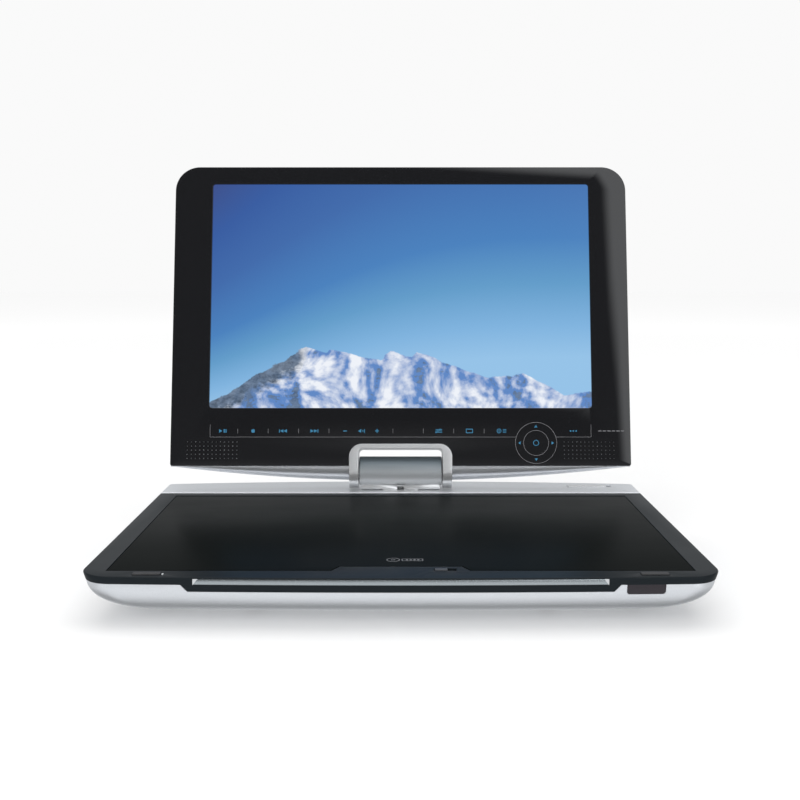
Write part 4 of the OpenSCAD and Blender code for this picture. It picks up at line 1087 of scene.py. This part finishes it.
def build_keys():
    """Printed touch keys on the glass, as plain symbols."""
    z = -GLASS_LOW[1] + 0.005
    base = GLASS_LOW[2]
    y = base + KEY_UP
    first = -90.7
    cyan = [triangle(first - 1, y, 1.6, 1.9), bar(first + 0.8, y, 0.5, 1.8), bar(first + 1.7, y, 0.5, 1.8)]
    cyan.append(bar(first + KEY_PITCH, y, 1.7, 1.7))
    for k, way in ((2, -1), (3, 1)):
        x = first + KEY_PITCH * k
        cyan += [triangle(x - 0.9, y, 1.7, 1.8, way), triangle(x + 0.9, y, 1.7, 1.8, way)]
        cyan.append(bar(x + way * 2.05, y, 0.4, 1.8))
    cyan += [bar(-28.3, y, 2.0, 0.45), bar(-12.0, y, 2.0, 0.45), bar(-12.0, y, 0.45, 2.0)]
    cyan += [triangle(-20.9, y, 1.6, 2.0, -1), bar(-19.2, y, 0.35, 1.2), bar(-18.4, y, 0.35, 2.0)]
    cyan += [bar(19.5, y + 0.7 * k, 3.4, 0.3) for k in (-1, 0, 1)]
    cyan += [bar(19.0 + 1.0 * k, y + 0.7 * k, 0.7, 0.75) for k in (-1, 0, 1)]
    cyan.append((round_rect(35.1, y, 3.6, 2.2, 0.3), [round_rect(35.1, y, 2.9, 1.5, 0.1)]))
    cyan += [hoop(50.2, y, 1.15, 0.3, 32), hoop(50.2, y, 0.4, 0.2, 20)]
    cyan += [bar(53.0, y + 0.7 * k, 1.8, 0.3) for k in (-1, 0, 1)]
    cyan += [(circle(88.1 + 1.4 * k, y, 0.42, 20), []) for k in (-1, 0, 1)]
    ring_y = base + RING_UP
    cyan.append(hoop(RING_X, ring_y, 1.5, 0.32, 40))
    for dx, dy, turn in ((8.4, 0, 0), (0, 8.4, 90), (-8.4, 0, 180), (0, -8.4, 270)):
        a = math.radians(turn)
        tri = [(-0.5, -0.8), (0.7, 0), (-0.5, 0.8)]
        cyan.append(([(RING_X + dx + px * math.cos(a) - py * math.sin(a),
                       ring_y + dy + px * math.sin(a) + py * math.cos(a)) for px, py in tri], []))
    marks("key_symbols", cyan, z, CYAN_INK, "display")

    grey = [hoop(RING_X, ring_y, 10.6, 0.22, 96), hoop(RING_X, ring_y, 6.5, 0.22, 80)]
    for start in (-83.0, -3.9):
        grey += [bar(start + KEY_PITCH * k, y, 0.22, 2.3) for k in range(4)]
    line_y = base + LINE_UP
    ring_gap = math.sqrt(10.6 ** 2 - (line_y - ring_y) ** 2)
    for x0, x1 in ((-LINE_END, RING_X - ring_gap), (RING_X + ring_gap, LINE_END)):
        grey.append(bar((x0 + x1) / 2, line_y, x1 - x0, 0.2))
    for side in (-1, 1):
        grey.append(bar(side * (LINE_END + 0.1), line_y + LINE_RISE / 2, 0.2, LINE_RISE))
    grey += [bar(101.6 + 2.3 * k, y, 1.7, 0.5) for k in range(6)]
    marks("key_lines", grey, z, GREY_INK, "display")


def build_marks():
    """Plain symbols in place of printed legends on the base."""
    y = box_mm("disc_lid")[0][1] + TAB_IN + 9
    pale = [hoop(-3, y, 2.6, 0.25, 48), hoop(-3, y, 0.8, 0.2, 24)]
    pale.append((round_rect(4.6, y, 8.4, 3.0, 0.6), [round_rect(4.6, y, 7.9, 2.5, 0.4)]))
    pale += [bar(2.4 + 1.5 * k, y, 0.9, 0.9) for k in range(4)]
    marks("lid_symbols", pale, DECK_Z + 0.002, PALE_INK, "lid", flat, 0.02)


# ---------- carried-over CAD nodes ----------
DRESSED = [
    (STEEL, ["loader_plate", "spindle_motor", "guide_rods", "sled_motor", "board_shield", "lid_hinge_pins",
             "swivel_plate", "swivel_screws", "spindle_shaft", "sled_screw", "swivel_retainer",
             "friction_washers", "tilt_shaft", "lcd_frame", "hinge_plate", "hinge_screws",
             "display_screws"]),
    (BLACK_PLASTIC, ["disc_well", "headphone_jack_front", "headphone_jack_rear", "power_jack",
                     "power_switch_body", "lock_body", "spindle_hub", "speaker_left", "speaker_right"]),
    (CLEAR, ["status_led", "swivel_washer", "light_guide", "backlight_bar"]),
    (BOARD, ["main_board", "inverter_board", "touch_board"]),
    (CHIP, ["board_chips", "pickup_sled"]),
    (RUBBER, ["loader_grommets"]),
    (SLEEVE, ["battery_pack"]),
    (GOLD, ["av_jack"]),
    (GREY_PLASTIC, ["disc_claws"]),
    (LENS, ["pickup_lens"]),
]


def dress_cad():
    for material, nodes in DRESSED:
        for node in nodes:
            dress(frame["nodes"][node], material)
    for node in ("disc_well", "spindle_hub", "disc_claws", "pickup_sled"):
        soften(frame["nodes"][node], 0.15, 40, 2)


# ---------- studio ----------
FLOOR_REACH = 4000


def build_floor():
    """Pale paper that glows a little more far from the object, where the lamps do not reach."""
    bm = bmesh.new()
    r = FLOOR_REACH
    ring = add_ring(bm, [(-r, -r), (r, -r), (r, r), (-r, r)], 0, flat)
    bm.faces.new(ring)
    s = Shader("floor_paper", Roughness=1.0, Specular_IOR_Level=0.0, Emission_Color=(1.0, 1.0, 1.0, 1))
    s.put(s.bsdf, Base_Color=s.blend(s.noise(8, 3), (0.80, 0.80, 0.80, 1), (0.82, 0.82, 0.82, 1)))
    away = s.add("VectorMath", {0: s.place}, operation="LENGTH").outputs["Value"]
    glow = s.add("MapRange", {0: away, 1: 0.4, 2: 1.8, 3: 0.12, 4: 0.36}).outputs[0]
    s.put(s.bsdf, Emission_Strength=glow)
    floor = finish_mesh(bm, "floor", s.mat, None)
    floor.visible_glossy = False


def area_light(name, place, target, size, power, tall=None):
    data = bpy.data.lights.new(name, "AREA")
    data.energy = power
    data.size = size
    if tall:
        data.shape = "RECTANGLE"
        data.size_y = tall
    lamp = bpy.data.objects.new(name, data)
    lamp.location = place
    lamp.rotation_euler = (Vector(target) - Vector(place)).to_track_quat("-Z", "Y").to_euler()
    bpy.context.scene.collection.objects.link(lamp)
    return lamp


class World:
    """The studio round the object, as a small node tree."""

    def __init__(self):
        world = bpy.data.worlds.new("studio")
        bpy.context.scene.world = world
        world.use_nodes = True
        self.tree = world.node_tree

    def node(self, kind, *values, **settings):
        node = self.tree.nodes.new("ShaderNode" + kind)
        for key, value in settings.items():
            setattr(node, key, value)
        for key, value in enumerate(values):
            if hasattr(value, "is_output"):
                self.tree.links.new(value, node.inputs[key])
            elif value is not None:
                node.inputs[key].default_value = value
        return node.outputs[0]

    def glow(self, way, start, end, strength):
        """Light that grows from start to end of the share of a direction along way."""
        coord = self.tree.nodes.new("ShaderNodeTexCoord").outputs["Generated"]
        dot = self.tree.nodes.new("ShaderNodeVectorMath")
        dot.operation = "DOT_PRODUCT"
        self.tree.links.new(coord, dot.inputs[0])
        dot.inputs[1].default_value = way
        return self.node("MapRange", dot.outputs["Value"], start, end, 0.0, strength,
                         interpolation_type="SMOOTHSTEP")


ROOM_DIM = 0.12


def build_world():
    """White to the camera, an even dome for light, and a dim room with bright panels in reflections."""
    w = World()
    ceiling = w.glow((0.0, 0.0, 1.0), 0.62, 0.95, 1.3)
    right = w.glow((1.0, 0.0, 0.6), 0.4, 0.53, 1.9)
    front = w.glow((0.0, -1.0, 0.0), 0.45, 0.75, 1.0)
    room = w.node("Math", w.node("Math", right, front, operation="MULTIPLY"), ROOM_DIM, operation="ADD")
    below = w.glow((0.0, -0.7, -0.71), 0.35, 1.0, 0.75)
    sides = [(0.0, 1.0, 0.0), (1.0, 0.0, 0.0), (-1.0, 0.0, 0.0)]
    around = [w.glow(way, 0.5, 0.8, 0.45) for way in sides]
    for panel_glow in [ceiling, below] + around:
        room = w.node("Math", room, panel_glow, operation="ADD")
    seen = w.node("Background", (0.955, 0.955, 0.955, 1), 1.0)
    dome = w.node("Background", (1.0, 1.0, 1.0, 1), 0.72)
    gloss = w.node("Background", (0.96, 0.98, 1.0, 1), room)
    path = w.tree.nodes.new("ShaderNodeLightPath").outputs
    mixed = w.node("MixShader", path["Is Glossy Ray"], dome, gloss)
    final = w.node("MixShader", path["Is Camera Ray"], mixed, seen)
    w.tree.links.new(final, w.tree.nodes["World Output"].inputs[0])


def build_lights():
    area_light("overhead", (0.0, 0.2, 1.3), (0, 0, 0), 1.8, 9, 1.2)
    area_light("low_front", (0.0, -0.75, 0.12), (0, 0.06, 0.03), 0.7, 2.2, 0.12).visible_glossy = False
    area_light("front_left", (-0.9, -1.3, 0.9), (0, 0, 0.05), 0.9, 4).visible_glossy = False


CAMERA_BACK = 0.557
CAMERA_UP = 0.1175
CAMERA_PITCH = 7.33
CAMERA_LENS = 49.5


def build_camera():
    data = bpy.data.cameras.new("camera")
    data.lens = CAMERA_LENS
    data.sensor_width = 36
    data.clip_start = 0.01
    cam = bpy.data.objects.new("camera", data)
    cam.location = (-0.0003, HINGE_Y * MM - CAMERA_BACK, DECK_Z * MM + CAMERA_UP)
    cam.rotation_euler = (math.radians(90 - CAMERA_PITCH), 0, 0)
    bpy.context.scene.collection.objects.link(cam)
    bpy.context.scene.camera = cam


build_camera()
build_case()
build_deck()
build_lid()
build_channel()
build_sliders()
build_base_trim()
build_hinge()
build_glass()
build_cover()
build_keys()
build_marks()
dress_cad()
build_floor()
build_world()
build_lights()
bpy.context.scene.view_settings.view_transform = "Standard"
